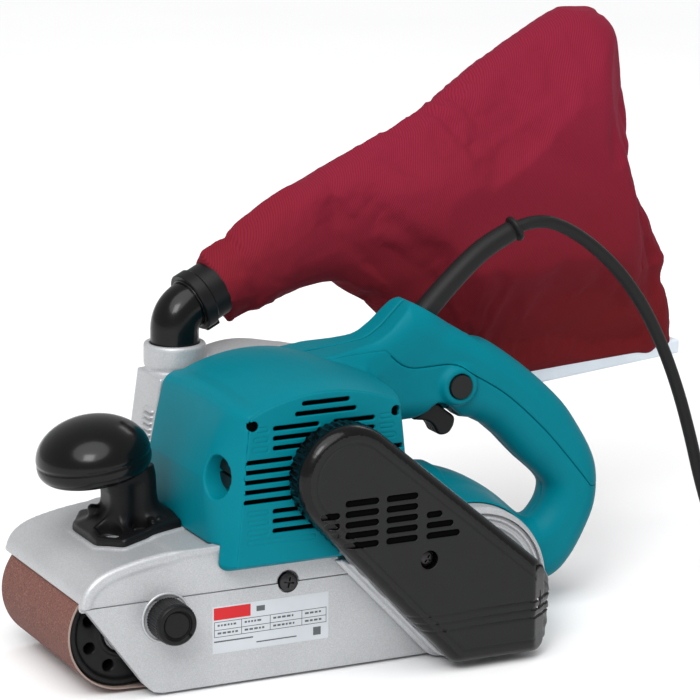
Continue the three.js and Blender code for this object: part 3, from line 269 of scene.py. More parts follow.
def woven(name, dark, light):
    """Ribbed bag cloth with uneven dye, and painted light that makes it lighter towards the top."""
    made, tree, shader = new_material(name)
    place = node(tree, "ShaderNodeTexCoord")
    turned = node(tree, "ShaderNodeMapping", Rotation=(0, -bag_lift, -bag_turn))
    wire(tree, place, "Object", turned, "Vector")
    ribs = node(tree, "ShaderNodeTexWave", bands_direction="X", Scale=285, Distortion=0.3)
    ribs.inputs["Detail"].default_value = 2
    wire(tree, turned, "Vector", ribs, "Vector")
    cloud = noise(tree, 11, 5, 0.6)
    # painted light: the tint is mixed towards the lighter colour with height, so the bag is lighter
    # towards the top
    height = node(tree, "ShaderNodeSeparateXYZ")
    wire(tree, place, "Object", height, "Vector")
    rise = node(tree, "ShaderNodeMapRange")
    set_values(rise, {"From Min": 0.13, "From Max": 0.33})
    wire(tree, height, "Z", rise, "Value")
    both = node(tree, "ShaderNodeMath", operation="MULTIPLY_ADD")
    both.inputs[1].default_value = 0.5
    tree.links.new(cloud.outputs["Fac"], both.inputs[0])
    tree.links.new(rise.outputs["Result"], both.inputs[2])
    tint = ramp(tree, both.outputs["Value"], [(0.3, dark), (1.1, light)])
    spark = ramp(tree, ribs.outputs["Fac"], [(0.0, (0.8, 0.8, 0.8)), (0.7, (1.05, 1.05, 1.05))])
    mixed = node(tree, "ShaderNodeMix", data_type="RGBA", blend_type="MULTIPLY")
    mixed.inputs["Factor"].default_value = 1
    wire(tree, tint, "Color", mixed, "A")
    wire(tree, spark, "Color", mixed, "B")
    wire(tree, mixed, "Result", shader, "Base Color")
    set_values(shader, {"Roughness": 0.85, "Specular IOR Level": 0.06, "Sheen Weight": 0.04})
    set_values(shader, {"Sheen Roughness": 0.4, "Sheen Tint": (1.0, 0.25, 0.5, 1)})
    add_bump(tree, shader, [(ribs.outputs["Fac"], 0.3, 0.0003)])
    return made


teal = moulded("teal_nylon", (0.0, 0.170, 0.218), rough=0.46, grain=0.16, mottle=0.04, shine=0.07)
charcoal = moulded("charcoal_cover", (0.012, 0.0125, 0.0125), rough=0.50, grain=0.55, spot=1300)
black = moulded("black_moulding", (0.005, 0.005, 0.0055), rough=0.38, grain=0.25)
glossy = moulded(
    "black_gloss", (0.002, 0.002, 0.0022), rough=0.24, grain=0.05, coat=0.25, shine=0.15
)
rubbery = moulded("black_rubber", (0.009, 0.009, 0.0095), rough=0.52, grain=0.4, spot=900)
# painted shade: a near-black, unlit-looking colour for sheets and recesses where there is only
# shade
painted_shade_black = moulded("shadow_black", (0.003, 0.003, 0.003), rough=0.8, grain=0.1, shine=0.0)
grey_paint = painted("satin_grey_paint", (0.49, 0.50, 0.515))
bare_alloy = metal("machined_alloy", (0.62, 0.63, 0.64), 0.42)
steel = metal("ground_steel", (0.55, 0.56, 0.57), 0.28)
black_steel = metal("blackened_steel", (0.05, 0.05, 0.052), 0.34)
brass = metal("brass", (0.62, 0.45, 0.18), 0.26)
copper = metal("copper", (0.60, 0.27, 0.13), 0.34)
grit_cloth = grit("abrasive_grit")
backing = moulded("belt_backing", (0.30, 0.23, 0.20), rough=0.8, grain=0.6)
carbon = moulded("graphite", (0.035, 0.035, 0.037), rough=0.6, grain=0.4)
# the second colour is reached through the random dye and through the painted light at the top
bag_cloth = woven("burgundy_cloth", (0.150, 0.012, 0.015), (0.215, 0.014, 0.034))
rail_white = moulded("white_moulding", (0.72, 0.79, 0.86), rough=0.3, grain=0.05)
label_white = moulded("label_white", (0.54, 0.57, 0.60), rough=0.35, grain=0.03)
label_red = moulded("label_red", (0.55, 0.02, 0.025), rough=0.35, grain=0.03)
label_grey = moulded("label_grey", (0.10, 0.11, 0.12), rough=0.4, grain=0.03)


# ------------------------------------------------------------ mesh helpers
def make_object(name, verts, faces, material, smooth=True):
    mesh = bpy.data.meshes.new(name)
    mesh.from_pydata(verts, [], faces)
    mesh.materials.append(material)
    mesh.polygons.foreach_set("use_smooth", [smooth] * len(mesh.polygons))
    return add_to_scene(name, mesh)


def place(piece, body, slot, *replaced):
    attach(piece, body)
    if replaced:
        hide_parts(*replaced)
    return piece


def smooth_by_angle(piece, degrees=35):
    """Sharp edges above the angle stay sharp when the rest is shaded smooth."""
    mesh = piece.data
    shape = bmesh.new()
    shape.from_mesh(mesh)
    for edge in shape.edges:
        edge.smooth = len(edge.link_faces) == 2 and edge.calc_face_angle(0) < math.radians(degrees)
    for face in shape.faces:
        face.smooth = True
    shape.to_mesh(mesh)
    shape.free()
    return piece


def soften(piece, width, segments=2, angle=35):
    """A bevel on the piece's sharp edges, in mm."""
    bevel = piece.modifiers.new("edges", "BEVEL")
    bevel.width = width * MM
    bevel.segments = segments
    bevel.limit_method = "ANGLE"
    bevel.angle_limit = math.radians(angle)
    bevel.harden_normals = False
    return piece


def lathe(name, profile, centre, axis, material, sides=64):
    """A closed profile of (radius, height) turned about an axis through centre, in mm."""
    verts, faces = [], []
    rows = len(profile)
    for k in range(sides):
        angle = 2 * math.pi * k / sides
        for radius, height in profile:
            verts.append((radius * math.cos(angle), radius * math.sin(angle), height))
    for k in range(sides):
        for i in range(rows - 1):
            a, b = k * rows + i, ((k + 1) % sides) * rows + i
            faces.append((a, b, b + 1, a + 1))
    made = make_object(name, verts, faces, material)
    turn = Vector((0, 0, 1)).rotation_difference(Vector(axis)).to_matrix().to_4x4()
    made.data.transform(Matrix.Translation(centre) @ turn)
    made.data.transform(Matrix.Scale(MM, 4))
    tidy_mesh(made)
    return made


def face_outwards(piece):
    shape = bmesh.new()
    shape.from_mesh(piece.data)
    bmesh.ops.recalc_face_normals(shape, faces=shape.faces)
    shape.to_mesh(piece.data)
    shape.free()


def tidy_mesh(piece, distance=1e-6):
    shape = bmesh.new()
    shape.from_mesh(piece.data)
    bmesh.ops.remove_doubles(shape, verts=shape.verts, dist=distance)
    bmesh.ops.dissolve_degenerate(shape, dist=distance, edges=shape.edges)
    bmesh.ops.recalc_face_normals(shape, faces=shape.faces)
    shape.to_mesh(piece.data)
    shape.free()


def prism(name, points, y0, y1, material, bevel=0.0, segments=2):
    """A solid between y0 and y1 over an outline of (x, z), in mm."""
    count = len(points)
    verts = [(x * MM, y * MM, z * MM) for y in (y0, y1) for x, z in points]
    faces = [tuple(range(count)), tuple(reversed(range(count, 2 * count)))]
    faces += [(i, i + count, (i + 1) % count + count, (i + 1) % count) for i in range(count)]
    made = make_object(name, verts, faces, material, smooth=False)
    tidy_mesh(made)
    if bevel:
        soften(made, bevel, segments)
    return made


def tube(rings, sides):
    """Vertices and faces of a closed tube through (point, radius) rings that keep to y = 0."""
    verts, faces = [], []
    side = Vector((0, 1, 0))
    for k, (point, radius) in enumerate(rings):
        last, after = rings[max(k - 1, 0)][0], rings[min(k + 1, len(rings) - 1)][0]
        up = (Vector(after) - Vector(last)).normalized().cross(side)
        for i in range(sides):
            angle = 2 * math.pi * i / sides
            reach = radius * (side * math.cos(angle) + up * math.sin(angle))
            verts.append(tuple(Vector(point) + reach))
    for start in range(0, (len(rings) - 1) * sides, sides):
        for i in range(sides):
            a, b = start + i, start + (i + 1) % sides
            faces.append((a, b, b + sides, a + sides))
    faces.append(tuple(reversed(range(sides))))
    faces.append(tuple(range((len(rings) - 1) * sides, len(rings) * sides)))
    return verts, faces


def block(name, low, high, material, bevel=0.0):
    outline = [(low[0], low[2]), (high[0], low[2]), (high[0], high[2]), (low[0], high[2])]
    return prism(name, outline, low[1], high[1], material, bevel)


def join_pieces(name, pieces):
    """One object of several, with their modifiers applied."""
    graph = bpy.context.evaluated_depsgraph_get()
    shape = bmesh.new()
    materials = []
    for piece in pieces:
        data = piece.evaluated_get(graph).to_mesh()
        offset = []
        for material in piece.data.materials:
            if material not in materials:
                materials.append(material)
            offset.append(materials.index(material))
        start = len(shape.faces)
        shape.from_mesh(data)
        shape.faces.ensure_lookup_table()
        for face in shape.faces[start:]:
            face.material_index = offset[face.material_index] if offset else 0
        piece.evaluated_get(graph).to_mesh_clear()
    mesh = bpy.data.meshes.new(name)
    shape.to_mesh(mesh)
    shape.free()
    for material in materials:
        mesh.materials.append(material)
    for piece in pieces:
        bpy.data.objects.remove(piece, do_unlink=True)
    return add_to_scene(name, mesh)


# ------------------------------------------------------------ distance-field modelling
class Field:
    """A box of sample points, in mm. Distances are negative inside a shape."""

    def __init__(self, low, high, step):
        self.low, self.step = np.array(low, float), step
        axes = [np.arange(a, b + step, step, dtype=np.float32) for a, b in zip(low, high)]
        self.x = axes[0][:, None, None]
        self.y = axes[1][None, :, None]
        self.z = axes[2][None, None, :]

    def polygon(self, points, first="x", second="z"):
        """Distance to a closed outline in the plane of two axes."""
        a, b = getattr(self, first), getattr(self, second)
        near = np.full(np.broadcast_shapes(a.shape, b.shape), 1e9, np.float32)
        inside = np.zeros(near.shape, bool)
        for (x0, z0), (x1, z1) in zip(points, points[1:] + points[:1]):
            ex, ez = x1 - x0, z1 - z0
            length = ex * ex + ez * ez
            if length < 1e-12:
                continue
            t = np.clip(((a - x0) * ex + (b - z0) * ez) / length, 0, 1)
            near = np.minimum(near, (a - x0 - t * ex) ** 2 + (b - z0 - t * ez) ** 2)
            if z0 != z1:
                crosses = ((b >= z0) != (b >= z1)) & (a < x0 + (b - z0) * ex / ez)
                inside ^= crosses
        near = np.sqrt(near)
        return np.where(inside, -near, near)

    def line(self, points, first="x", second="z"):
        """Distance to an open line in the plane of two axes."""
        a, b = getattr(self, first), getattr(self, second)
        near = np.full(np.broadcast_shapes(a.shape, b.shape), 1e9, np.float32)
        for (x0, z0), (x1, z1) in zip(points, points[1:]):
            ex, ez = x1 - x0, z1 - z0
            t = np.clip(((a - x0) * ex + (b - z0) * ez) / (ex * ex + ez * ez), 0, 1)
            near = np.minimum(near, (a - x0 - t * ex) ** 2 + (b - z0 - t * ez) ** 2)
        return np.sqrt(near)

    def reach(self, x, z):
        """Distance from a line along y."""
        return np.sqrt((self.x - x) ** 2 + (self.z - z) ** 2)

    def slab(self, flat, low, high, edge=0.0, axis="y"):
        """A flat outline's distance made a solid from low to high, its edges rounded."""
        across = np.abs(getattr(self, axis) - (low + high) / 2) - (high - low) / 2
        return corner(flat, across, edge)

    def box(self, low, high, edge=0.0):
        parts = []
        for axis, a, b in zip((self.x, self.y, self.z), low, high):
            parts.append(np.abs(axis - (a + b) / 2) - (b - a) / 2 + edge)
        outside = np.sqrt(sum(np.maximum(p, 0) ** 2 for p in parts))
        return outside + np.minimum(np.maximum(np.maximum(*parts[:2]), parts[2]), 0) - edge

    def rod(self, centre, radius, low, high, edge=0.0, axis="y"):
        """A cylinder along an axis through centre, the two other coordinates in order."""
        others = [n for n in "xyz" if n != axis]
        a, b = (getattr(self, n) for n in others)
        flat = np.sqrt((a - centre[0]) ** 2 + (b - centre[1]) ** 2) - radius
        return self.slab(flat, low, high, edge, axis)

    def stick(self, start, end, radius):
        """A capsule from start to end."""
        p = [self.x - start[0], self.y - start[1], self.z - start[2]]
        e = np.array(end, float) - np.array(start, float)
        t = np.clip(sum(a * b for a, b in zip(p, e)) / float(e @ e), 0, 1)
        return np.sqrt(sum((a - t * b) ** 2 for a, b in zip(p, e))) - radius


def corner(a, b, edge):
    """Inside both distances, with the edge between them rounded."""
    a, b = a + edge, b + edge
    outside = np.sqrt(np.maximum(a, 0) ** 2 + np.maximum(b, 0) ** 2)
    return outside + np.minimum(np.maximum(a, b), 0) - edge


def blend(a, b, k):
    """Union with a fillet of about k."""
    h = np.maximum(k - np.abs(a - b), 0) / k
    return np.minimum(a, b) - h * h * k / 4


def carve(a, b, k=0.0):
    """a without b, with an edge softened by k."""
    if not k:
        return np.maximum(a, -b)
    h = np.maximum(k - np.abs(a + b), 0) / k
    return np.maximum(a, -b) + h * h * k / 4


def common(a, b, k=0.0):
    return carve(a, -b, k)


def skin(name, field, values, material):
    """The surface where values are zero, as a closed mesh of quads."""
    shape = tuple(n.size for n in (field.x, field.y, field.z))
    values = np.array(np.broadcast_to(values, shape), np.float32)
    values[[0, -1]] = np.maximum(values[[0, -1]], field.step)
    values[:, [0, -1]] = np.maximum(values[:, [0, -1]], field.step)
    values[:, :, [0, -1]] = np.maximum(values[:, :, [0, -1]], field.step)
    inside = values < 0
    mixed = np.zeros(tuple(n - 1 for n in shape), np.int8)
    corners = [(i, j, k) for i in (0, 1) for j in (0, 1) for k in (0, 1)]
    for i, j, k in corners:
        mixed += inside[i : shape[0] - 1 + i, j : shape[1] - 1 + j, k : shape[2] - 1 + k]
    cells = np.argwhere((mixed > 0) & (mixed < 8))
    number = np.full(mixed.shape, -1, np.int32)
    number[tuple(cells.T)] = np.arange(len(cells))
    at = {c: values[tuple((cells + c).T)] for c in corners}
    total = np.zeros((len(cells), 3))
    count = np.zeros(len(cells))
    for axis in range(3):
        for start in corners:
            if start[axis]:
                continue
            end = tuple(s + (n == axis) for n, s in enumerate(start))
            a, b = at[start], at[end]
            cut = (a < 0) != (b < 0)
            t = np.where(cut, a / np.where(a == b, 1, a - b), 0)
            point = np.tile(np.array(start, float), (len(cells), 1))
            point[:, axis] += t
            total += point * cut[:, None]
            count += cut
    verts = cells + total / count[:, None]
    quads = []
    for axis in range(3):
        side = [slice(1, -1)] * 3
        side[axis] = slice(0, -1)
        ahead = list(side)
        ahead[axis] = slice(1, None)
        a, b = inside[tuple(side)], inside[tuple(ahead)]
        edges = np.argwhere(a != b)
        edges += [0 if n == axis else 1 for n in range(3)]
        flip = inside[tuple(edges.T)]
        u, v = np.eye(3, dtype=int)[(axis + 1) % 3], np.eye(3, dtype=int)[(axis + 2) % 3]
        ring = [edges - u - v, edges - v, edges, edges - u]
        quad = np.stack([number[tuple(c.T)] for c in ring], axis=1)
        quads.append(np.where(flip[:, None], quad, quad[:, ::-1]))
    quads = np.concatenate(quads)
    verts = settle(values, verts)
    points = (field.low + verts * field.step) * MM
    mesh = bpy.data.meshes.new(name)
    mesh.vertices.add(len(points))
    mesh.vertices.foreach_set("co", points.ravel())
    mesh.loops.add(quads.size)
    mesh.loops.foreach_set("vertex_index", quads.ravel())
    mesh.polygons.add(len(quads))
    mesh.polygons.foreach_set("loop_start", np.arange(0, quads.size, 4))
    mesh.polygons.foreach_set("use_smooth", np.ones(len(quads), bool))
    mesh.update(calc_edges=True)
    mesh.validate()
    mesh.materials.append(material)
    return add_to_scene(name, mesh)


def sample(values, at):
    """Values between grid points, and their slope."""
    base = np.clip(np.floor(at).astype(int), 0, np.array(values.shape) - 2)
    f = at - base
    v = {}
    for i in (0, 1):
        for j in (0, 1):
            for k in (0, 1):
                v[i, j, k] = values[base[:, 0] + i, base[:, 1] + j, base[:, 2] + k]
    x, y, z = f.T
    low = [v[0, j, k] * (1 - x) + v[1, j, k] * x for j in (0, 1) for k in (0, 1)]
    slope_x = [v[1, j, k] - v[0, j, k] for j in (0, 1) for k in (0, 1)]
    mix_y = [low[0] * (1 - y) + low[2] * y, low[1] * (1 - y) + low[3] * y]
    value = mix_y[0] * (1 - z) + mix_y[1] * z
    gx = (slope_x[0] * (1 - y) + slope_x[2] * y) * (1 - z)
    gx = gx + (slope_x[1] * (1 - y) + slope_x[3] * y) * z
    gy = (low[2] - low[0]) * (1 - z) + (low[3] - low[1]) * z
    gz = mix_y[1] - mix_y[0]
    return value, np.stack([gx, gy, gz], axis=1)


def settle(values, verts):
    """Moves vertices on to the surface, by less than half a cell."""
    moved = verts.copy()
    for _ in range(2):
        value, slope = sample(values, moved)
        steep = np.maximum((slope**2).sum(axis=1), 1e-6)
        step = -(value / steep)[:, None] * slope
        far = np.sqrt((step**2).sum(axis=1))
        step *= np.minimum(1, 0.35 / np.maximum(far, 1e-9))[:, None]
        moved += step
    return moved


# ------------------------------------------------------------ outlines
def circles_hull(circles, grow=0.0, sides=64):
    """The outline round a set of (x, z, radius) circles."""
    points = []
    for x, z, radius in circles:
        for i in range(sides):
            angle = 2 * math.pi * i / sides
            reach = radius + grow
            points.append((x + reach * math.cos(angle), z + reach * math.sin(angle)))
    points = sorted(set(points))

    def half(rows):
        chain = []
        for p in rows:
            while len(chain) > 1:
                (ax, az), (bx, bz) = chain[-2], chain[-1]
                if (bx - ax) * (p[1] - az) - (bz - az) * (p[0] - ax) > 0:
                    break
                chain.pop()
            chain.append(p)
        return chain[:-1]

    return half(points) + half(points[::-1])


def rounded_line(points, steps=6, closed=True):
    """A smooth curve through the points."""
    count = len(points)
    curve = []
    spans = range(count if closed else count - 1)
    for i in spans:
        p = []
        for offset in (-1, 0, 1, 2):
            k = (i + offset) % count if closed else min(max(i + offset, 0), count - 1)
            p.append(Vector(points[k]))
        for s in range(steps):
            t = s / steps
            mid = 0.5 * (
                2 * p[1]
                + (p[2] - p[0]) * t
                + (2 * p[0] - 5 * p[1] + 4 * p[2] - p[3]) * t * t
                + (3 * p[1] - p[0] - 3 * p[2] + p[3]) * t**3
            )
            curve.append(tuple(mid))
    if not closed:
        curve.append(tuple(points[-1]))
    return curve


cover_circles = [
    (motor_x + 4, motor_z - 1, 30), (rear_x - 4, roller_z + 26, 12),
    (rear_x + 23, roller_z + 3, 13), (rear_x + 19, 19, 15), (rear_x - 24, 15, 11),
]
crown_z = span("motor_housing")[1][2]
nose_x, tail_x = span("motor_housing")[0][0], span("motor_housing")[1][0]
crown = [(nose_x + 38, crown_z - 38, 38), (tail_x - 38, crown_z - 38, 38)]
skirt_circles = crown + [(nose_x + 8, deck_z - 5, 8), (tail_x - 27, deck_z - 5, 8)]


def shell_outline():
    """The housing's side view: nose leaning back, arched crown and rounded tail."""
    nose = [(0, -38.2), (0, -4), (3.6, 13), (7.4, 29), (8.6, 32.8), (10.8, 35.6), (14.5, 37.4)]
    points = [(nose_x + x, motor_z + z) for x, z in nose]
    for i in range(17):
        x = motor_x - 41 + 80 * i / 16
        points.append((x, motor_z - 53.4 + math.sqrt(100**2 - (x - motor_x + 1) ** 2)))
    tail = [(-12, 36), (-7, 31), (-3.5, 21), (-1, 4), (0, -14), (0, -38.2)]
    return points + [(tail_x + x, motor_z + z) for x, z in tail]


def panel_outline(grow):
    points = [
        (motor_x - 54.5 - grow, deck_z - 8 - grow), (motor_x + 39 + grow, deck_z - 8 - grow),
        (motor_x + 47 + grow, motor_z - 12),
    ]
    for i in range(25):
        angle = math.radians(63.8 + 52.4 * i / 24)
        reach = 100 + grow
        x = motor_x - 2.5 + reach * math.cos(angle)
        points.append((x, motor_z - 56 + reach * math.sin(angle)))
    return points


roof_line = shift(
    front_x, deck_z,
    (-27.2, -24.8), (-25, -18), (-20.5, -12.5), (-12, -8), (4, -4.2), (22, -1.8), (44, 0),
)
roof_line += shift(motor_x, deck_z, (60, 0))

seam_line = shift(motor_x, deck_z, (63, 86), (77.5, 75))
seam_line += shift(
    rear_x, deck_z,
    (8.5, 74), (20.5, 67.5), (44, 52.5), (68.5, 30), (87, 9), (101, -8),
)

handle_line = shift(motor_x, deck_z, (24, 92.5), (52, 95), (64, 101), (76, 109.5), (84, 110))
handle_line += shift(
    rear_x, deck_z,
    (7.5, 98), (15.5, 94), (39, 81.5), (64, 63), (84.5, 44), (96, 28.5), (106, 11), (109.5, -3),
    (108.5, -20), (102, -36), (92, -52), (80, -62), (60, -66), (44, -64), (30, -30), (-6, 1),
)
handle_line += shift(motor_x, deck_z, (50, 1), (30, 20), (20, 60))

finger_line = shift(motor_x, deck_z, (40, 42), (62, 42))
finger_line += shift(
    rear_x, deck_z,
    (25, 39), (60, 10), (74, -3), (77, -10.5), (73, -20), (64, -24.5), (42, -10.5), (10, 5.5),
    (-5, 11), (-19, 14.5),
)
finger_line += shift(motor_x, deck_z, (55, 16), (40, 17))


neck_line = shift(
    motor_x, deck_z,
    (-80, -75), (-80, 85), (-2, 85.5), (24, 87), (45, 89), (56, 90.5), (61, 92.3), (68, 97),
    (80.5, 109), (84.5, 111.5), (86, 200), (250, 200), (250, -75),
)

trigger_arch = shift(
    rear_x, deck_z,
    (-15, 38), (-11, 43.4), (-6, 47.5), (-3, 51), (0.5, 52.6), (6.5, 51.4), (11.5, 47.2),
    (17.3, 41.8), (18, 34), (2, 30),
)


# ------------------------------------------------------------ cord
cord_route = [
    (100, 0, 178.5), (118, 0, 196.2), (138, 0, 212.6), (160, 0, 223.6), (167, 0, 225.4),
    (175, 0, 225.8), (184, 0, 224.2), (197, 0, 218), (212, 0, 207.4), (227, 0, 193.4),
    (240, 0, 177.6), (251, 0, 160.4), (262, 0, 138.8), (272, 0, 114), (280.5, 0, 88),
    (288, 0, 62), (296, 0, 39), (306, 0, 20), (318, 0, 8.4), (331, 0, 4),
]
sleeve_points = 4
cord_length = 5.0


def coil_route():
    """Turns beside and on each other: four rings to a layer, four layers."""
    (low, high) = span("cord_coil")
    cx, cy = (low[0] + high[0]) / 2, (low[1] + high[1]) / 2
    outer = (high[0] - low[0]) / 2 - cord_radius - 0.15
    pitch = 2 * cord_radius + 0.3
    points = []
    rings, layers, steps = 4, 4, 28
    turns = []
    for layer in range(layers):
        order = range(rings) if layer % 2 == 0 else reversed(range(rings))
        turns += [(layer, ring) for ring in order]
    for number, (layer, ring) in enumerate(turns):
        radius, height = outer - ring * pitch, cord_radius + 0.25 + layer * pitch
        after = turns[min(number + 1, len(turns) - 1)]
        next_radius, next_height = outer - after[1] * pitch, cord_radius + 0.25 + after[0] * pitch
        for i in range(steps):
            share = i / steps
            ease = max(0.0, (share - 0.75) / 0.25)
            ease = ease * ease * (3 - 2 * ease)
            angle = math.pi / 2 - 2 * math.pi * share
            reach = radius + (next_radius - radius) * ease
            level = height + (next_height - height) * ease
            points.append((cx + reach * math.cos(angle), cy + reach * math.sin(angle), level))
    return points


def poly_length(points):
    return sum(math.dist(a, b) for a, b in zip(points, points[1:]))


def add_cord():
    straight = rounded_line(cord_route[sleeve_points - 1 :], 4, closed=False)
    coil = coil_route()
    inlet = [(340, 0, cord_radius + 0.25), (351, 0, cord_radius + 0.25)]
    route = straight + inlet + coil
    room = cord_length * 1000
    kept, run = [route[0]], 0.0
    for a, b in zip(route, route[1:]):
        run += math.dist(a, b)
        if run > room:
            break
        kept.append(b)
    curve = bpy.data.curves.new("mains_cord", "CURVE")
    curve.dimensions = "3D"
    curve.bevel_depth = cord_radius * MM
    curve.bevel_resolution = 5
    curve.use_fill_caps = True
    spline = curve.splines.new("POLY")
    spline.points.add(len(kept) - 1)
    for point, at in zip(spline.points, kept):
        point.co = (*[v * MM for v in at], 1)
    curve.materials.append(rubbery)
    cord = add_to_scene("mains_cord", curve)
    place(cord, "root", "rubber", "cord", "cord_coil")
    return cord


def add_guard():
    """The tapered sleeve that the cord leaves the handle through, with its end flange."""
    path = rounded_line(cord_route[:sleeve_points], 12, closed=False)
    total = poly_length(path)
    rings, run = [], 0.0
    for i, point in enumerate(path):
        if i:
            run += math.dist(path[i - 1], point)
        share = run / total
        radius = 6.8 - 0.9 * share
        rings.append((point, radius))
    end, before = Vector(path[-1]), Vector(path[-2])
    ahead = (end - before).normalized()
    flange = [(-3.4, 5.3), (-2.6, 7.2), (-2.0, 7.7), (-0.6, 7.7), (0, 7.2), (0.2, 4.2)]
    rings = [r for r in rings if (Vector(r[0]) - end).length > 3.6]
    rings += [(tuple(end + ahead * offset), radius) for offset, radius in flange]
    verts, faces = tube(rings, sides=32)
    verts = [tuple(Vector(v) * MM) for v in verts]
    guard = make_object("cord_sleeve", verts, faces, rubbery)
    tidy_mesh(guard)
    smooth_by_angle(guard, 50)
    place(guard, "root", "rubber", "cord_guard")
    return guard


def add_plug():
    low, high = span("plug_body")
    field = Field([v - 3 for v in low], [v + 3 for v in high], 0.8)
    x0, x1, yc = low[0], high[0], (low[1] + high[1]) / 2
    outline = [(x0, yc - 5), (x0 + 10, yc - 8.5), (x1 - 8, yc - 14), (x1, yc - 14)]
    outline += [(x, 2 * yc - y) for x, y in reversed(outline)]
    flat = field.polygon(outline, "x", "y")
    body = field.slab(flat, low[2], high[2], 4, "z")
    for i in range(4):
        x = x0 + 8 + 5 * i
        for side in (-1, 1):
            y = yc + side * 16
            groove = field.stick((x, y, low[2] + 3), (x, y, high[2] - 3), 4.6 - 0.5 * i)
            body = carve(body, groove, 1)
    made = skin("plug_shell", field, body, rubbery)
    return place(made, "root", "rubber", "plug_body")


cord = add_cord()
guard = add_guard()
plug = add_plug()


# ------------------------------------------------------------ teal housing
def bulged(field, flat, middle_y, half, rise):
    """A flat outline's distance with its upper part lifted towards the middle of the width."""
    z = field.z.ravel()
    share = np.clip((z - motor_z + 7) / 50, 0, 1)
    values = np.empty((field.x.size, field.y.size, z.size), np.float32)
    for j, y in enumerate(field.y.ravel()):
        lift = rise * max(0.0, 1 - ((y - middle_y) / half) ** 2)
        at = np.clip((z - lift * share - z[0]) / field.step, 0, z.size - 1.001)
        base = at.astype(int)
        part = (at - base).astype(np.float32)
        values[:, j, :] = flat[:, 0, base] * (1 - part) + flat[:, 0, base + 1] * part
    return values


def housing_body(field):
    """The motor housing as a solid, with its crown, chamfered near edges and skirt."""
    flat_upper = field.polygon(shell_outline())
    flat_lower = field.polygon(circles_hull(skirt_circles))
    crowned = bulged(field, flat_upper, -22, 50, 4)
    across = np.abs(field.y - (near_y + housing_far + 20) / 2) - (housing_far + 20 - near_y) / 2
    upper = np.maximum(crowned, across)
    lower = field.slab(flat_lower, near_y, plate_y - 0.3, 1)
    lower = common(lower, field.z - motor_z, 0)
    chamfer = (field.polygon(panel_outline(0)) - 0.5 * (field.y - near_y)) / math.sqrt(1.25)
    upper = common(upper, chamfer, 4)
    lower = common(lower, chamfer, 2)
    upper = common(upper, deck_z + 0.4 - field.z, 0.6)
    upper = common(upper, field.y - housing_far, 3)
    return np.minimum(upper, lower)


boss_aim = Vector((math.cos(math.radians(43)), 0, math.sin(math.radians(43))))


def handle_body(field):
    outer = field.polygon(rounded_line(handle_line, 4))
    hole = field.polygon(rounded_line(finger_line, 4))
    body = field.slab(np.maximum(outer, -hole), -half_handle, half_handle, 14)
    collar_x = 90
    root = Vector((collar_x, 0, deck_z + 91.5))
    collar = field.stick(tuple(root - boss_aim * 14), tuple(root + boss_aim * 8), 13.8)
    face = (field.x - rear_x + 2.6) * 0.527 + (field.z - deck_z - 103.9) * 0.85
    body = np.maximum(blend(body, collar, 8), outer - 0.2 - 6 * (field.z < deck_z + 84))
    return common(body, face - 40 * (field.z < deck_z + 84), 0.8)


def handle_shells(field):
    """The whole handle blended into the housing's crown and the deck."""
    ring_low = -half_handle - 3.4
    housing = field.polygon(shell_outline())
    plain = field.slab(housing, near_y + 16, housing_far + 6, 12)
    neck = field.polygon(neck_line)
    grip = common(blend(handle_body(field), plain, 22), neck, 1.0)
    notch = np.maximum(np.maximum(np.abs(field.y) - 1.0, -neck - 2.2), field.x - motor_x - 84)
    grip = carve(grip, np.maximum(notch, motor_x + 14 - field.x), 0.5)
    arch = field.slab(field.polygon(rounded_line(trigger_arch, 4)), -30, 8.2)
    grip = carve(grip, arch, 1.0)
    grip = blend(grip, field.rod((lock_x, lock_z), 11, ring_low, 0, 2.2), 4)
    grip = carve(grip, field.rod((lock_x, lock_z), 7.3, ring_low - 4, -4), 0.6)
    room = field.box((rear_x - 16.5, -7.6, deck_z + 30), (rear_x + 18, 7.6, deck_z + 62))
    grip = carve(grip, room, 0.6)
    start = Vector(cord_route[0])
    bore = field.stick(tuple(start - boss_aim * 6), tuple(start + boss_aim * 40), 7.0)
    grip = carve(grip, bore, 0.8)
    near_edge = -58 + 6 * np.clip((field.x - rear_x + 20) / 20, 0, 1)
    low_side = field.box((tail_x - 4, -70, deck_z - 30), (rear_x + 2, 8, deck_z + 12), 1)
    slope = (field.z - deck_z - 2.5 - (field.y + 58) * 0.17) * 0.98
    skirt = np.maximum(np.maximum(low_side, slope), near_edge - field.y)
    around = field.reach(rear_x, roller_z)
    saddle = around - fender_radius - 1.4 - np.clip(field.y + 52, 0, 35) * 0.10
    saddle = np.maximum(np.maximum(saddle, near_edge - field.y), field.y - 8)
    saddle = np.maximum(saddle, deck_z - 48 - field.z)
    saddle = np.maximum(saddle, rear_x - 24 - field.x)
    grip = blend(grip, np.minimum(skirt, saddle), 13)
    grip = np.maximum(grip, -(housing + 0.8))
    grip = np.maximum(grip, fender_radius + 0.45 - around)
    return grip


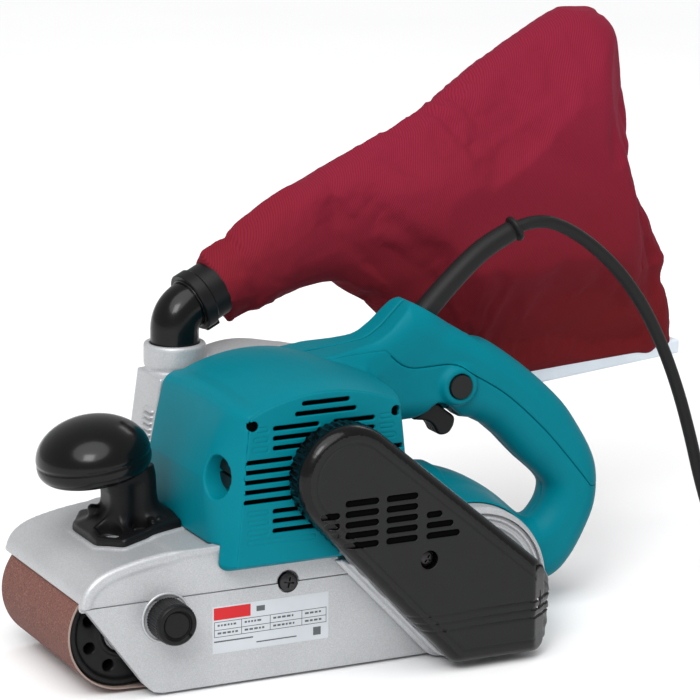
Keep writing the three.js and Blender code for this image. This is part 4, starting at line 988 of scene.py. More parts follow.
def teal_shells():
    """The handle's cover and its two halves, parted along the seam and down the middle."""
    upper_region = rounded_line(seam_line, 5, closed=False)
    upper_region += [(rear_x + 160, deck_z - 8), (rear_x + 160, deck_z + 160)]
    upper_region += [(motor_x, deck_z + 160), (motor_x, deck_z + 86)]
    step = 0.75
    field = Field((motor_x + 14, -26, deck_z - 12), (rear_x + 113, 26, deck_z + 114), step)
    above = field.polygon(upper_region)
    cover = common(handle_shells(field), above + 0.15 * (field.x > motor_x + 66), 0.4)
    place(skin("handle_top_shell", field, cover, teal), "root", "teal_plastic", "handle_cover")
    field = Field((motor_x + 14, -62, deck_z - 70), (rear_x + 113, 20, deck_z + 92), step)
    above = field.polygon(upper_region)
    grip = common(handle_shells(field), -above - 0.4 * (field.x < motor_x + 66), 0.4)
    grip = np.maximum(grip, deck_z + 0.35 - field.z - 300 * (field.x > rear_x - 18))
    near = np.maximum(grip, field.y + 0.12)
    far = np.maximum(grip, 0.12 - field.y)
    place(skin("handle_shell_near", field, near, teal), "root", "teal_plastic", "handle_near_half")
    place(skin("handle_shell_far", field, far, teal), "root", "teal_plastic", "handle_far_half")


def add_housing():
    low = (nose_x - 3, near_y - 2, deck_z - 16)
    field = Field(low, (tail_x + 3, housing_far + 3, crown_z + 3), 0.8)
    body = housing_body(field)
    for face, side in ((nose_x, -1), (tail_x, 1)):
        low, high = sorted((face + side * 3, face - side * 12))
        y, z = (field.y - near_y - 18.5) / 9.5, (field.z - motor_z + 1) / 12
        recess = field.slab((np.sqrt(y**2 + z**2) - 1) * 9.5, low, high, 0, "x")
        body = carve(body, recess, 0.6)
        low, high = sorted((face - side * 9, face - side * 30))
        body = carve(body, field.rod((near_y + 20, motor_z), 8.2, low, high, 0, "x"), 0.5)
    for x in (-45, 39.5):
        body = carve(body, field.rod((motor_x + x, motor_z + 29.6), 2.9, near_y - 3, near_y + 6))
    opening = field.slab(field.polygon(panel_outline(-1.2)), near_y - 3, near_y + 12)
    body = carve(body, opening)
    place(skin("housing_shell", field, body, teal), "root", "teal_plastic", "motor_housing")
    # painted shade: a near-black sheet inside the housing, behind the panel's slots, where there is
    # only shade
    inner = prism("housing_painted_shade", panel_outline(-1), near_y + 3.5, near_y + 9, painted_shade_black)
    place(inner, "root", "black_plastic")


def slot_rows():
    """[x0, x1, z, open] of each ventilation slot; those not open are shallow outlines."""
    rows = []

    def add(index, spans, open_=True):
        for x0, x1 in spans:
            rows.append((motor_x + x0, motor_x + x1, motor_z + 39.2 - index * 5.42, open_))

    add(0, [(-16.5, 11.5)])
    add(1, [(-20.5, 15.5)])
    for i in range(3):
        add(2.2 + i, [(-33.5, -6.5), (2, 26.5)])
        add(2.2 + i, [(-43.5 - i, -36.5), (29.5, 37 + i)], False)
    for i in range(5):
        add(5.4 + i, [(-50.5, -22), (20.5, 44.5)])
    for i in range(3):
        add(10.6 + i, [(-33.5, -6)])
        add(10.6 + i, [(-48, -36)], False)
    add(13.6, [(-48, -8)], False)
    return rows


def add_panel():
    step = 0.5
    low = (motor_x - 57, near_y - 2.5, deck_z - 12)
    field = Field(low, (motor_x + 52, near_y + 5, motor_z + 49), step)
    body = field.slab(field.polygon(panel_outline(0.1)), near_y - 0.12, near_y + 1.6, 0.35)
    for x0, x1, z, open_ in slot_rows():
        flat = field.line([(x0 + 1.1, z), (x1 - 1.1, z)]) - 1.3
        if open_:
            body = carve(body, field.slab(flat, near_y - 3, near_y + 6), 0.4)
        else:
            outline = np.abs(flat) - 0.3
            body = carve(body, field.slab(outline, near_y - 3, near_y + 0.25), 0.2)
    for x in (-45, 39.5):
        hole = field.rod((motor_x + x, motor_z + 29.6), 2.9, near_y - 3, near_y + 6)
        body = carve(body, hole, 0.4)
    place(skin("slotted_end_panel", field, body, teal), "root", "teal_plastic", "motor_end_cover")


add_housing()
add_panel()
teal_shells()


# ------------------------------------------------------------ drive cover
def cover_slots():
    """[x0, x1, row] of the drive cover's slots, from the motor's axis."""
    full = [(a, b, row) for a, b in ((-0.6, 18.9), (23.9, 42.4)) for row in range(5)]
    left = [(-14.6, -4.3, 1), (-11.8, -4.3, 2), (-7.6, -4.3, 3)]
    return full + left + [(48.2, 57.2, 2), (48.2, 64, 3), (48.2, 68, 4)]


def add_drive_cover():
    low, high = span("drive_cover")
    field = Field([v - 1.5 for v in low], [high[0] + 1.5, high[1] + 1.5, high[2] + 1.5], 0.6)
    hull = circles_hull(cover_circles + [(rear_x + 19.5, roller_z + 11, 11.5)])
    flat = field.polygon(hull)
    back = high[1]
    body = field.slab(flat, cover_y, back + 10, 7.5)
    body = common(body, field.y - back, 0.5)
    # a shallow step runs round the flat of the face
    step = np.abs(flat + 8.6) - 0.6
    body = carve(body, field.slab(step, cover_y - 3, cover_y + 0.5), 0.3)
    # the rear of the face leans back
    lean = ((field.x - (rear_x + 18.5)) * 0.75 - (field.y - cover_y)) / 1.25
    body = common(body, lean, 1.5)
    # ribs on the side wall
    cx, cz, _ = cover_circles[0]
    along = np.arctan2(field.z - cz, field.x - cx) * 30 + (field.x + field.z) * 0.2
    ripple = 0.28 * np.cos(along * 2 * np.pi / 3.2) + 0.28
    body = body + np.where(field.y > cover_y + 8, ripple, 0).astype(np.float32)
    for x0, x1, row in cover_slots():
        z = motor_z - 12.8 - row * 5.9
        slot = field.line([(motor_x + x0 + 1.5, z), (motor_x + x1 - 1.5, z)]) - 1.75
        body = carve(body, field.slab(slot, cover_y - 3, cover_y + 2.6), 0.4)
    for k in range(3):
        z = roller_z - 8.6 + 4.7 * k
        groove = field.box((rear_x - 64, cover_y - 5, z - 0.55), (rear_x + 60, back - 4, z + 0.55))
        deep = 0.15 + 0.6 * np.clip((field.x - rear_x + 64) / 60, 0, 1)
        body = carve(body, np.maximum(groove, -(body + deep)), 0.3)
    body = carve(body, field.rod(cover_screw, 5.2, cover_y - 3, cover_y + 5.5), 0.6)
    # painted shade: a near-black sheet behind the cover's slots, clipped inside its outline, where
    # there is only shade
    low = (motor_x - 15, cover_y + 1.4, motor_z - 38.5)
    high = (motor_x + 69, cover_y + 4.5, motor_z - 11)
    dark = np.maximum(field.box(low, high), field.slab(flat + 7, cover_y, back))
    place(skin("cover_slot_shadow", field, dark, painted_shade_black), "root", "cover_plastic")
    made = skin("belt_cover_shell", field, body, charcoal)
    made.data.materials.append(glossy)
    points = np.empty(len(made.data.vertices) * 3, np.float32)
    made.data.vertices.foreach_get("co", points)
    depth = points.reshape(-1, 3)[:, 1] * 1000
    index = []
    for face in made.data.polygons:
        deep = max(depth[v] for v in face.vertices)
        index.append(1 if deep > cover_y + 0.75 else 0)
    made.data.polygons.foreach_set("material_index", index)
    place(made, "root", "cover_plastic", "drive_cover")


add_drive_cover()


# ------------------------------------------------------------ body casting
def foot_outline(grow):
    """The grip foot's plan, drawn 3 mm inside its real edge."""
    half = [
        (grip_x - 2.5 - grow, 16.5 + 0.6 * grow), (grip_x + 5.5 - 0.4 * grow, 29.3 + grow),
        (grip_x + 42, 17.5 + grow),
    ]
    return [(x, -y) for x, y in half] + list(reversed(half))


def add_casting():
    field = Field((front_x - 30, seat_y - 14, -1), (rear_x + 47, far_y + 3, deck_z + 4), 0.9)
    wall_outer, wall_inner = -60.0, -55.0
    far = 300
    curve = rounded_line(roof_line, 5, closed=False)
    under = []
    for degrees in (144, 134, 124, 112):
        turn, reach = math.radians(degrees), belt_radius + 1
        under.append((front_x + reach * math.cos(turn), roller_z + reach * math.sin(turn)))
    under += [(front_x + 4, deck_z - 7.7), (front_x + 44, deck_z - 3.5)]
    strip = curve + [(rear_x - 12, deck_z), (rear_x - 12, deck_z - 3.5)] + under[::-1]
    body = field.slab(field.polygon(strip), wall_outer - 2.6, far_y, 1.2)
    seam_z = deck_z - 24.5
    lowest = 1.5
    reach = fender_radius - 3.3
    start = math.asin((lowest - roller_z) / reach)
    wall_line = [(front_x - 26.5, seam_z - 1), (front_x + 7, lowest + 5.5)]
    wall_line += [(front_x + 11.5, lowest + 1.2), (front_x + 17, lowest)]
    for i in range(25):
        angle = start + (math.radians(104) - start) * i / 24
        wall_line.append((rear_x + reach * math.cos(angle), roller_z + reach * math.sin(angle)))
    wall_line += [(x + 0.2, z - 0.2) for x, z in reversed(curve)]
    wall = field.slab(field.polygon(wall_line), wall_outer, wall_inner, 1)
    body = blend(body, wall, 1.5)
    rim_line = [(front_x - 26.9, seam_z + 0.3), (motor_x + 60, seam_z + 0.3)]
    rim_line += [(motor_x + 60, deck_z)] + curve[-2::-1]
    rim = field.slab(field.polygon(rim_line), plate_y, wall_outer + 0.5, 0.7)
    body = np.minimum(body, rim)
    bead = np.sqrt(field.line(curve[1:]) ** 2 + (field.y - (plate_y + 2.4)) ** 2) - 3.5
    bead = common(bead, plate_y - 1.0 - field.y, 0.8)
    bead = common(bead, field.z - deck_z - 1.6, 0.5)
    body = blend(body, bead, 1.6)
    pad = field.polygon(foot_outline(2.2), "x", "y") - 3
    pad = np.maximum(pad, field.polygon([(-200, 0)] + curve + [(200, 0)]) - 0.9)
    body = blend(body, np.maximum(pad, deck_z - 14 - field.z), 1.2)
    room_line = [(-far, -10), (far, -10), (far, seam_z + 0.3), (-far, seam_z + 0.3)]
    plate_room = field.slab(field.polygon(room_line), -200, wall_outer)
    seat_flat = field.polygon(circles_hull(cover_circles, 0.8))
    seat = field.slab(seat_flat, seat_y, wall_inner, 1.2)
    lip = np.abs(field.polygon(circles_hull(cover_circles, 2.2))) - 1.0
    lip = field.slab(lip, seat_y + 9, seat_y + 12, 0.6)
    seat = blend(seat, lip, 2)
    # cut off level with the deck, twice over for a softer edge
    for _ in range(2):
        seat = common(seat, field.z - deck_z, 0.5)
    under_skirt = field.box((-far, seat_y - 20, deck_z - 13.4), (motor_x + 58, wall_inner, 400))
    seat = carve(seat, under_skirt)
    body = np.minimum(carve(body, plate_room), common(seat, seat_flat - 3))
    body = blend(body, np.maximum(wall, -1), 0.8)
    for radius in (41.2, 37.6):
        ridge_flat = np.abs(field.reach(rear_x, roller_z) - radius) - 0.9
        ridge = field.slab(ridge_flat, plate_y + 1, wall_outer + 1, 0.6)
        ridge = common(ridge, rear_x - 14 - field.x)
        body = blend(body, ridge, 0.8)
    beam_low, beam_high = 5.4, roller_z + 20
    beam_front, beam_rear = front_x + 55.2, rear_x - 41.3
    beam = field.box((beam_front, wall_inner - 1, beam_low), (beam_rear, 50.8, beam_high), 1)
    channel = field.box((beam_front - 1, -8.3, roller_z - 7.4), (22.6, 8.3, roller_z + 7.4))
    beam = carve(beam, channel, 0.5)
    for y0, y1 in ((13, 46), (-51, -13)):
        low, high = (beam_front + 4, y0, beam_low + 4), (beam_rear - 4, y1, beam_high + 1)
        pocket = field.box(low, high, 2)
        beam = carve(beam, pocket, 0.5)
    arm_line = circles_hull([(rear_x, roller_z, 15), (beam_rear - 12, roller_z, 12)])
    arm = field.slab(field.polygon(arm_line), 50.7, 57, 1)
    boss_x = span("tension_lever")[0][0] + 6
    boss = field.rod((boss_x, roller_z), 8, 46, 58.6, 0.8)
    beam = blend(blend(beam, arm, 2), boss, 2)
    beam = carve(beam, field.rod((boss_x, roller_z), 3.8, 40, 70), 0.3)
    body = blend(body, beam, 1.5)
    holes = (
        ((rear_x, roller_z), 16.3, wall_outer - 1, wall_inner - 0.3),
        ((rear_x, roller_z), 9.5, -100, wall_inner + 1),
        ((rear_x, roller_z), 11.3, 50.9, 56.3),
        ((rear_x, roller_z), 6, 49, 70),
        ((knob_x, knob_z), 4.3, -70, wall_inner + 1),
        (side_screw, 2.8, -70, wall_inner + 1),
        (side_screw, 6.3, plate_y - 3, wall_outer),
    )
    for centre, radius, low, high in holes:
        body = carve(body, field.rod(centre, radius, low, high), 0.3)
    hollow = field.slab(field.polygon(circles_hull(cover_circles, -3)), seat_y - 10, wall_outer)
    body = carve(body, hollow, 0.3)
    window = field.box((motor_x - 30, 30, deck_z - 6), (motor_x + 40, 54, deck_z + 3))
    body = carve(body, window, 0.3)
    place(skin("body_casting", field, body, grey_paint), "root", "machined_alloy", "frame_casting")


def add_fender():
    """The guard over the rear roller: a curved sheet with a stepped near shoulder."""
    profile = shift(far_y, fender_radius, (0, -3), (0, -0.8), (-0.8, 0))
    profile += shift(
        plate_y, fender_radius,
        (5.5, 0), (3.2, -0.7), (1.6, -2.0), (0.9, -3.0), (0.9, -3.2), (3.6, -3.2), (4.4, -3.0),
    )
    steps, rows = 72, len(profile)
    verts, faces = [], []
    for k in range(steps + 1):
        angle = math.radians(-40 + 140 * k / steps)
        for y, radius in profile:
            x, z = rear_x + radius * math.cos(angle), roller_z + radius * math.sin(angle)
            verts.append((x * MM, y * MM, z * MM))
    for k in range(steps):
        for i in range(rows):
            a, b = k * rows + i, k * rows + (i + 1) % rows
            faces.append((a, b, b + rows, a + rows))
    faces.append(tuple(range(rows)))
    faces.append(tuple(range(steps * rows, (steps + 1) * rows)))
    made = make_object("roller_guard", verts, faces, grey_paint)
    tidy_mesh(made)
    smooth_by_angle(made, 40)
    place(made, "root", "painted_alloy", "rear_fender")


def screw_head(name, x, face, z, radius, turn):
    """A domed cross-recess head seen from the near side."""
    head = lathe(
        name,
        [(0, 3), (radius, 3), (radius, 1.2), (radius - 0.3, 0.5), (radius - 1.2, 0.0), (0, -0.25)],
        (x, face, z),
        (0, 1, 0),
        black_steel,
        48,
    )
    for angle in (turn, turn + 90):
        # the cutting arms carry the painted-shade black, as painted shade for the cross recess
        arm = block("arm", (-0.58 * radius, -1.2, -0.5), (0.58 * radius, 1.1, 0.5), painted_shade_black)
        move = Matrix.Translation((x * MM, face * MM, z * MM))
        arm.data.transform(move @ Matrix.Rotation(math.radians(angle), 4, "Y"))
        cut_out(head, arm)
    return smooth_by_angle(head, 30)


def add_screws():
    head = screw_head("side_screw_head", side_screw[0], plate_y - 1.2, side_screw[1], 5.4, 12)
    place(head, "root", "dark_steel", "side_screw")
    head = screw_head("cover_screw_head", cover_screw[0], cover_y + 3.2, cover_screw[1], 4.3, 35)
    place(head, "root", "dark_steel", "drive_cover_screw")


def cut_out(piece, cutter):
    """Cuts the cutter's shape out of the piece, and removes the cutter."""
    change = piece.modifiers.new("cut", "BOOLEAN")
    change.object = cutter
    change.solver = "EXACT"
    change.use_self = True
    graph = bpy.context.evaluated_depsgraph_get()
    mesh = bpy.data.meshes.new_from_object(piece.evaluated_get(graph))
    piece.modifiers.clear()
    piece.data = mesh
    bpy.data.objects.remove(cutter, do_unlink=True)


def add_label():
    """A plain rating plate: border, coloured block and ruled lines, with no lettering."""
    x0, x1, z0, z1 = -57.2, 12.0, 19.0, 45.5
    face = plate_y - 0.12
    parts = [block("plate", (x0, face, z0), (x1, plate_y - 0.005, z1), label_white)]

    def bar(ax, az, bx, bz, material):
        low, high = (x0 + ax, face - 0.04, z1 - bz), (x0 + bx, face, z1 - az)
        parts.append(block("bar", low, high, material))

    bar(0.8, 0.8, 22.5, 7.6, label_red)
    for z in (8.6, 13.1, 17.0):
        bar(1, z, 68, z + 0.35, label_grey)
    for x in (1, 17, 34, 53, 67.6):
        bar(x, 8.6, x + 0.35, 17.3, label_grey)
    rng = random.Random(4)
    for start, end in ((3, 15), (19, 31), (36, 50), (55, 65)):
        for z in (10.2, 14.6):
            at = start
            while at < end - 1.5:
                wide = rng.uniform(0.9, 2.4)
                bar(at, z, min(at + wide, end), z + 1.1, label_grey)
                at += wide + 0.7
    bar(26, 2.6, 31, 5.6, label_grey)
    bar(1, 19.4, 24, 20.2, label_grey)
    bar(26, 22.6, 50, 23.3, label_grey)
    bar(60, 19.3, 64.6, 23.9, label_grey)
    made = join_pieces("rating_plate", parts)
    place(made, "root", "rail_plastic")


add_casting()
add_fender()
add_screws()
add_label()


# ------------------------------------------------------------ belt, roller ends and knob
def add_belt():
    circles = [
        (front_x, roller_z, belt_radius), (rear_x, roller_z, belt_radius), (front_x + 39, 8, 8),
        (rear_x - 39, 8, 8),
    ]
    outer = circles_hull(circles, 0, 96)
    count = len(outer)
    verts, faces = [], []
    half = 50
    levels = [(-half, -0.25), (-half + 0.4, 0), (half - 0.4, 0), (half, -0.25)]
    inner = []
    for i, (x, z) in enumerate(outer):
        ax, az = outer[i - 1]
        bx, bz = outer[(i + 1) % count]
        away = Vector((bz - az, ax - bx)).normalized()
        inner.append((x, z, away))
    rings = [(y, drop) for y, drop in levels] + [(half, -1), (-half, -1)]
    for y, drop in rings:
        for x, z, away in inner:
            verts.append(((x + away.x * drop) * MM, y * MM, (z + away.y * drop) * MM))
    for k in range(len(rings)):
        nxt = (k + 1) % len(rings)
        for i in range(count):
            j = (i + 1) % count
            faces.append((k * count + i, k * count + j, nxt * count + j, nxt * count + i))
    made = make_object("abrasive_belt", verts, faces, grit_cloth)
    made.data.materials.append(backing)
    mats = [0 if k == 1 else 1 for k in range(len(rings)) for _ in range(count)]
    made.data.polygons.foreach_set("material_index", mats)
    face_outwards(made)
    smooth_by_angle(made, 30)
    place(made, "root", "abrasive", "sanding_belt")


def add_front_roller():
    """The front roller with dished ends and a ring of lightening holes."""
    field = Field((front_x - 32, -50, roller_z - 32), (front_x + 32, 50, roller_z + 32), 1.0)
    axle = (front_x, roller_z)
    body = field.rod(axle, 30.5, -48, 48, 1)
    for low, high in ((-60, -46.2), (46.2, 60)):
        body = carve(body, field.rod(axle, 26.5, low, high, 0.8), 0.8)
    hub = field.rod(axle, 14, -48, -40, 0.8)
    hub = np.minimum(hub, field.rod(axle, 14, 40, 48, 0.8))
    body = blend(body, hub, 1.5)
    for i in range(8):
        angle = 2 * math.pi * (i + 0.5) / 8
        centre = (front_x + 20 * math.cos(angle), roller_z + 20 * math.sin(angle))
        body = carve(body, field.rod(centre, 3.1, -60, 60), 0.5)
    for low, high in ((-60, -40.7), (40.7, 60)):
        body = carve(body, field.rod(axle, 11.3, low, high), 0.4)
    body = carve(body, field.rod(axle, 6.5, -60, 60))
    wheel = skin("front_roller_wheel", field, body, black)
    place(wheel, "front_roller", "black_plastic", "front_roller")


def add_knob():
    """The tracking knob: a knurled rim round a recessed face with a raised ring."""
    low, high = span("tracking_knob")
    field = Field([v - 1 for v in low], [v + 1 for v in high], 0.4)
    face, back = low[1], high[1]
    angle = np.arctan2(field.z - knob_z, field.x - knob_x)
    radius = field.reach(knob_x, knob_z)
    knurl = 0.28 * np.cos(angle * 44)
    rim = field.slab(radius - 11.4 + np.where(radius > 8, knurl, 0), face + 2.2, back, 0.5)
    collar = field.slab(radius - 11.2, face, face + 4, 1.4)
    body = blend(rim, collar, 0.8)
    body = carve(body, field.rod((knob_x, knob_z), 8.3, face - 5, face + 1.6, 0.4), 0.7)
    button = field.rod((knob_x, knob_z), 7.3, face + 0.7, face + 4, 0.8)
    body = blend(body, button, 0.4)
    low, high = (knob_x + 6.4, face - 2, knob_z - 6.6), (knob_x + 7.9, face + 1.5, knob_z - 5.2)
    body = carve(body, field.box(low, high), 0.3)
    body = carve(body, field.rod((knob_x, knob_z), 3.4, face + 5, back + 2))
    dial = skin("tracking_dial", field, body, black)
    place(dial, "tracking_knob", "black_plastic", "tracking_knob")
    base = lathe(
        "dial_seat",
        [(12.6, 0), (14.2, 0), (14.0, -0.8), (13.4, -1.1), (12.6, -0.9), (12.6, 0)],
        (knob_x, plate_y, knob_z),
        (0, 1, 0),
        grey_paint,
    )
    place(base, "root", "painted_alloy")


add_belt()
add_front_roller()
add_knob()


def add_trigger():
    """The trigger: a hollowed finger rest that ends in a blunt hook."""
    low, high = span("trigger")
    rest = shift(
        rear_x, deck_z,
        (-10.5, 42), (-6, 45.4), (-2.6, 49.2), (0.5, 50.6), (5.5, 49.4), (10, 45.3), (15.2, 41),
        (15.4, 36.8), (13.4, 33), (11, 31.2), (7.6, 30.8), (4.8, 32), (2.8, 35.6), (0.4, 38.4),
        (-3.7, 40.4), (-8, 41.2),
    )
    (x0, z0), (x1, z1) = (84, 104), (123, 131)
    field = Field((x0, low[1] - 2, z0), (x1, high[1] + 2, z1), 0.45)
    flat = field.polygon(rounded_line(rest, 5))
    body = field.slab(flat, low[1], high[1], 1.6)
    for k in range(3):
        groove = np.abs(flat + 0.1) - 0.3
        groove = np.maximum(groove, np.abs(field.y + 3.2 - 3.2 * k) - 0.35)
        body = carve(body, groove, 0.3)
    place(skin("trigger_shell", field, body, black), "trigger", "black_plastic", "trigger")


add_trigger()


# ------------------------------------------------------------ front grip
def add_grip():
    low, high = span("grip_ball")
    lean = math.radians(9)
    field = Field((low[0] - 3, low[1] - 3, low[2] - 9), [v + 3 for v in high], 0.7)
    along, rise = field.x - grip_x, field.z - groove_z
    x = along * math.cos(lean) + rise * math.sin(lean)
    z = -along * math.sin(lean) + rise * math.cos(lean)
    around = np.sqrt(x**2 + field.y**2)
    dome = (np.sqrt((around / 31.5) ** 2 + (np.maximum(z, 0) / 21.8) ** 2) - 1) * 22
    under = corner(around - 31.5, -z - 11, 8)
    body = np.where(z > 0, dome, under)
    groove = np.sqrt((around - 31.9) ** 2 + (z + 0.3) ** 2) - 1.0
    body = carve(body, groove, 0.4)
    place(skin("grip_knob", field, body, glossy), "root", "gloss_black", "grip_ball")

    low, high = span("grip_foot")
    field = Field((low[0] - 4, -36, low[2] - 6), (high[0] + 4, 36, high[2] + 10), 0.65)
    roof = rounded_line(roof_line, 5, closed=False)
    below = field.polygon([(roof[0][0] - 5, -20)] + roof + [(motor_x + 90, -20)])
    plan = field.polygon(foot_outline(0), "x", "y") - 3
    plate = common(plan, below - 5.2, 2.4)
    column_line = shift(
        grip_x, deck_z,
        (1, 38), (6.5, 20), (5, 9), (-3, -2), (8, -8), (42, -6), (43, 4), (35, 14), (30, 38),
    )
    side = field.polygon(rounded_line(column_line, 5))
    flare = 12.5 + 6 * np.clip((deck_z + 12 - field.z) / 16, 0, 1) ** 2
    across = np.abs(field.y) - flare
    column = corner(side, across, 7)
    body = blend(plate, column, 8)
    bend = (grip_x + 2, 7, deck_z + 9)
    hook = field.stick((grip_x + 3, 6, deck_z - 4), bend, 2.4)
    hook = blend(hook, field.stick(bend, (grip_x + 13, 3, deck_z + 8), 2.2), 2)
    body = blend(body, hook, 3)
    for centre, radius in (((grip_x + 20, -17.5), 5.6), ((grip_x + 1, -16), 8.5)):
        scoop = np.maximum(field.rod(centre, radius, deck_z - 3, deck_z + 26, 2, "z"), plan + 3.5)
        body = carve(body, scoop, 2.0)
    bolt = field.rod((grip_x + 20, -17.5), 3.5, deck_z - 4, deck_z + 2.2, 0.6, "z")
    slot = field.box((grip_x + 16, -18.2, deck_z + 1.0), (grip_x + 24, -16.8, deck_z + 4))
    body = blend(body, carve(bolt, slot, 0.2), 0.5)
    for offset in (0, 4.6, 9.2):
        low = (grip_x + 25.5 + offset, -20 + 0.5 * offset, deck_z + 1)
        high = (grip_x + 28 + offset, -13 + 0.3 * offset, deck_z + 6.8)
        body = blend(body, field.box(low, high, 0.6), 0.7)
    body = carve(body, below - 0.3, 0.4)
    x = field.x - grip_x
    ball_floor = groove_z - 11.1 + x * math.tan(lean)
    body = common(body, (field.z - ball_floor) * 0.98, 0.5)
    body = common(body, field.x - (nose_x - 0.3), 0.8)
    place(skin("grip_base", field, body, black), "root", "black_plastic", "grip_foot")


add_grip()


# ------------------------------------------------------------ blower and dust elbow
def add_blower():
    low, high = span("blower_housing")
    low_corner = (low[0] - 3, low[1] - 2, low[2] - 2)
    field = Field(low_corner, (motor_x + 70, high[1] + 4, high[2] + 2), 0.9)
    scroll = field.rod((motor_x + 2, motor_z - 4), 48, low[1] - 10, blower_far, 5)
    arc = [(motor_x - 20, deck_z), (motor_x - 20, motor_z + 34)]
    for i in range(9):
        x = motor_x - 12 + 9 * i
        arc.append((x, motor_z - 83 + math.sqrt(125**2 - (x - motor_x - 8) ** 2)))
    arc += [(motor_x + 67, deck_z + 60), (motor_x + 67, deck_z)]
    scroll = blend(scroll, field.slab(field.polygon(arc), low[1] - 10, blower_far, 4), 4)
    stack_top = outlet_top - 16
    duct = field.slab(
        field.polygon(
            [
                (outlet_x - 30, deck_z - 20), (outlet_x + 20, deck_z - 20),
                (outlet_x + 17, stack_top), (outlet_x - 17, stack_top),
            ]
        ),
        low[1] - 10,
        blower_far + 1.5,
        6,
    )
    neck = field.rod((outlet_x, outlet_y), 15.6, stack_top - 12, outlet_top - 5, 2, "z")
    rim = field.rod((outlet_x, outlet_y), 17.5, outlet_top - 13.5, outlet_top, 1.8, "z")
    body = blend(blend(scroll, duct, 7), blend(neck, rim, 1.2), 4)
    ring = np.abs(np.sqrt((field.x - motor_x - 2) ** 2 + (field.z - motor_z + 4) ** 2) - 34) - 1.6
    body = blend(body, field.slab(ring, blower_far - 3, blower_far + 1.2, 0.8), 2)
    for i in range(8):
        z = deck_z + 53 - 3.3 * i
        x = outlet_x - 17 - 13 * (stack_top - z) / (stack_top - deck_z + 20)
        rib = field.box((x - 2.2, low[1] + 2, z - 0.9), (x + 4, low[1] + 15, z + 0.9), 0.6)
        body = blend(body, rib, 0.5)
    body = common(body, low[1] - field.y, 0.5)
    body = common(body, deck_z + 0.4 - field.z, 0.5)
    bore = field.rod((outlet_x, outlet_y), 14.0, outlet_top - 21, outlet_top + 5, 0, "z")
    body = carve(body, bore, 0.8)
    place(skin("blower_shell", field, body, grey_paint), "root", "painted_alloy", "blower_housing")


def bag_frame():
    """The swivelling parts' own axes: out along the bag, across it, and up."""
    return Matrix.Translation((outlet_x, outlet_y, 0)) @ Matrix.Rotation(bag_turn, 4, "Z")


def swivel_tube(name, path, radius, material):
    """A closed tube along a path in the bag's plane."""
    verts, faces = tube([(point, radius) for point in path], sides=48)
    made = make_object(name, verts, faces, material)
    made.data.transform(bag_frame())
    made.data.transform(Matrix.Scale(MM, 4))
    tidy_mesh(made)
    return made


def add_elbow():
    rise = math.tan(bag_lift)
    path = [(0, 0, corner_z - 35), (0, 0, corner_z - 9.5)]
    for i in range(1, 17):
        t = i / 16
        x = 9.5 * t * t
        z = (1 - t) ** 2 * -9.5 + t * t * 9.5 * rise
        path.append((x, 0, corner_z + z))
    path.append((30, 0, corner_z + 30 * rise))
    tube = swivel_tube("elbow_tube", path, 13.7, glossy)
    smooth_by_angle(tube, 50)
    bead = [(13.2, 0), (14.4, 0), (14.8, 0.6), (14.4, 1.2), (13.2, 1.2), (13.2, 0)]
    brow = lathe("elbow_brow", bead, (0, 0, 0), (0, 0, 1), glossy)
    aim = Vector((math.cos(bag_lift), 0, math.sin(bag_lift)))
    place_brow = bag_frame() @ Matrix.Translation(Vector((0, 0, corner_z)) + aim * 10.4)
    brow.data.transform(Matrix.Scale(1000, 4))
    turn = Vector((0, 0, 1)).rotation_difference(aim).to_matrix().to_4x4()
    brow.data.transform(place_brow @ turn)
    brow.data.transform(Matrix.Scale(MM, 4))
    elbow = join_pieces("elbow_pipe", [tube, brow])
    place(elbow, "dust_swivel", "black_plastic", "dust_elbow")

    profile = [
        (14.0, 11), (16.9, 11), (17.4, 11.5), (17.4, 17.6), (16.9, 18.2), (16.3, 18.8),
        (16.3, 39.6), (14.0, 39.6), (14.0, 11),
    ]
    cuff = lathe("cuff_ring", profile, (0, 0, 0), (0, 0, 1), black, 64)
    smooth_by_angle(cuff, 35)
    cuff.data.transform(Matrix.Scale(1000, 4))
    tab = block("cuff_tab", (-19.2, -4, 13), (-15.6, 4, 22), black, 0.8)
    tab.data.transform(Matrix.Scale(1000, 4))
    tab.modifiers["edges"].width = 0.8
    both = join_pieces("bag_collar", [cuff, tab])
    half_turn = Matrix.Rotation(math.pi, 4, "Z")
    both.data.transform(bag_frame() @ Matrix.Translation((0, 0, corner_z)) @ turn @ half_turn)
    both.data.transform(Matrix.Scale(MM, 4))
    place(both, "dust_swivel", "black_plastic", "bag_cuff")


add_blower()
add_elbow()


# ------------------------------------------------------------ dust bag
bag_line = shift(
    0, corner_z,
    (42, 42), (70, 54), (95, 65), (125, 80), (145, 87), (176, 105), (202, 120), (240, 138),
    (268, 151.5), (280, 152), (290, 149), (299, 138), (307, 110), (315, 86), (327, 50), (333, 26),
    (340, 2), (346, -10), (339, -19), (345, -26), (353, -44), (361, -70),
)
bag_under = shift(
    0, corner_z,
    (188, -74), (180, -64), (160, -46), (134, -24), (120, -8), (107, 4), (95, 8), (70, 4),
    (46, -4),
)
bag_full = 31.0  # half of the filled bag's thickness
bag_mouth = 27.0  # from the elbow's corner to the bag's mouth


def in_bag_plane(piece):
    """Takes a mesh from bag axes in mm to the frame in metres."""
    piece.data.transform(Matrix.Scale(1000, 4))
    piece.data.transform(bag_frame())
    piece.data.transform(Matrix.Scale(MM, 4))


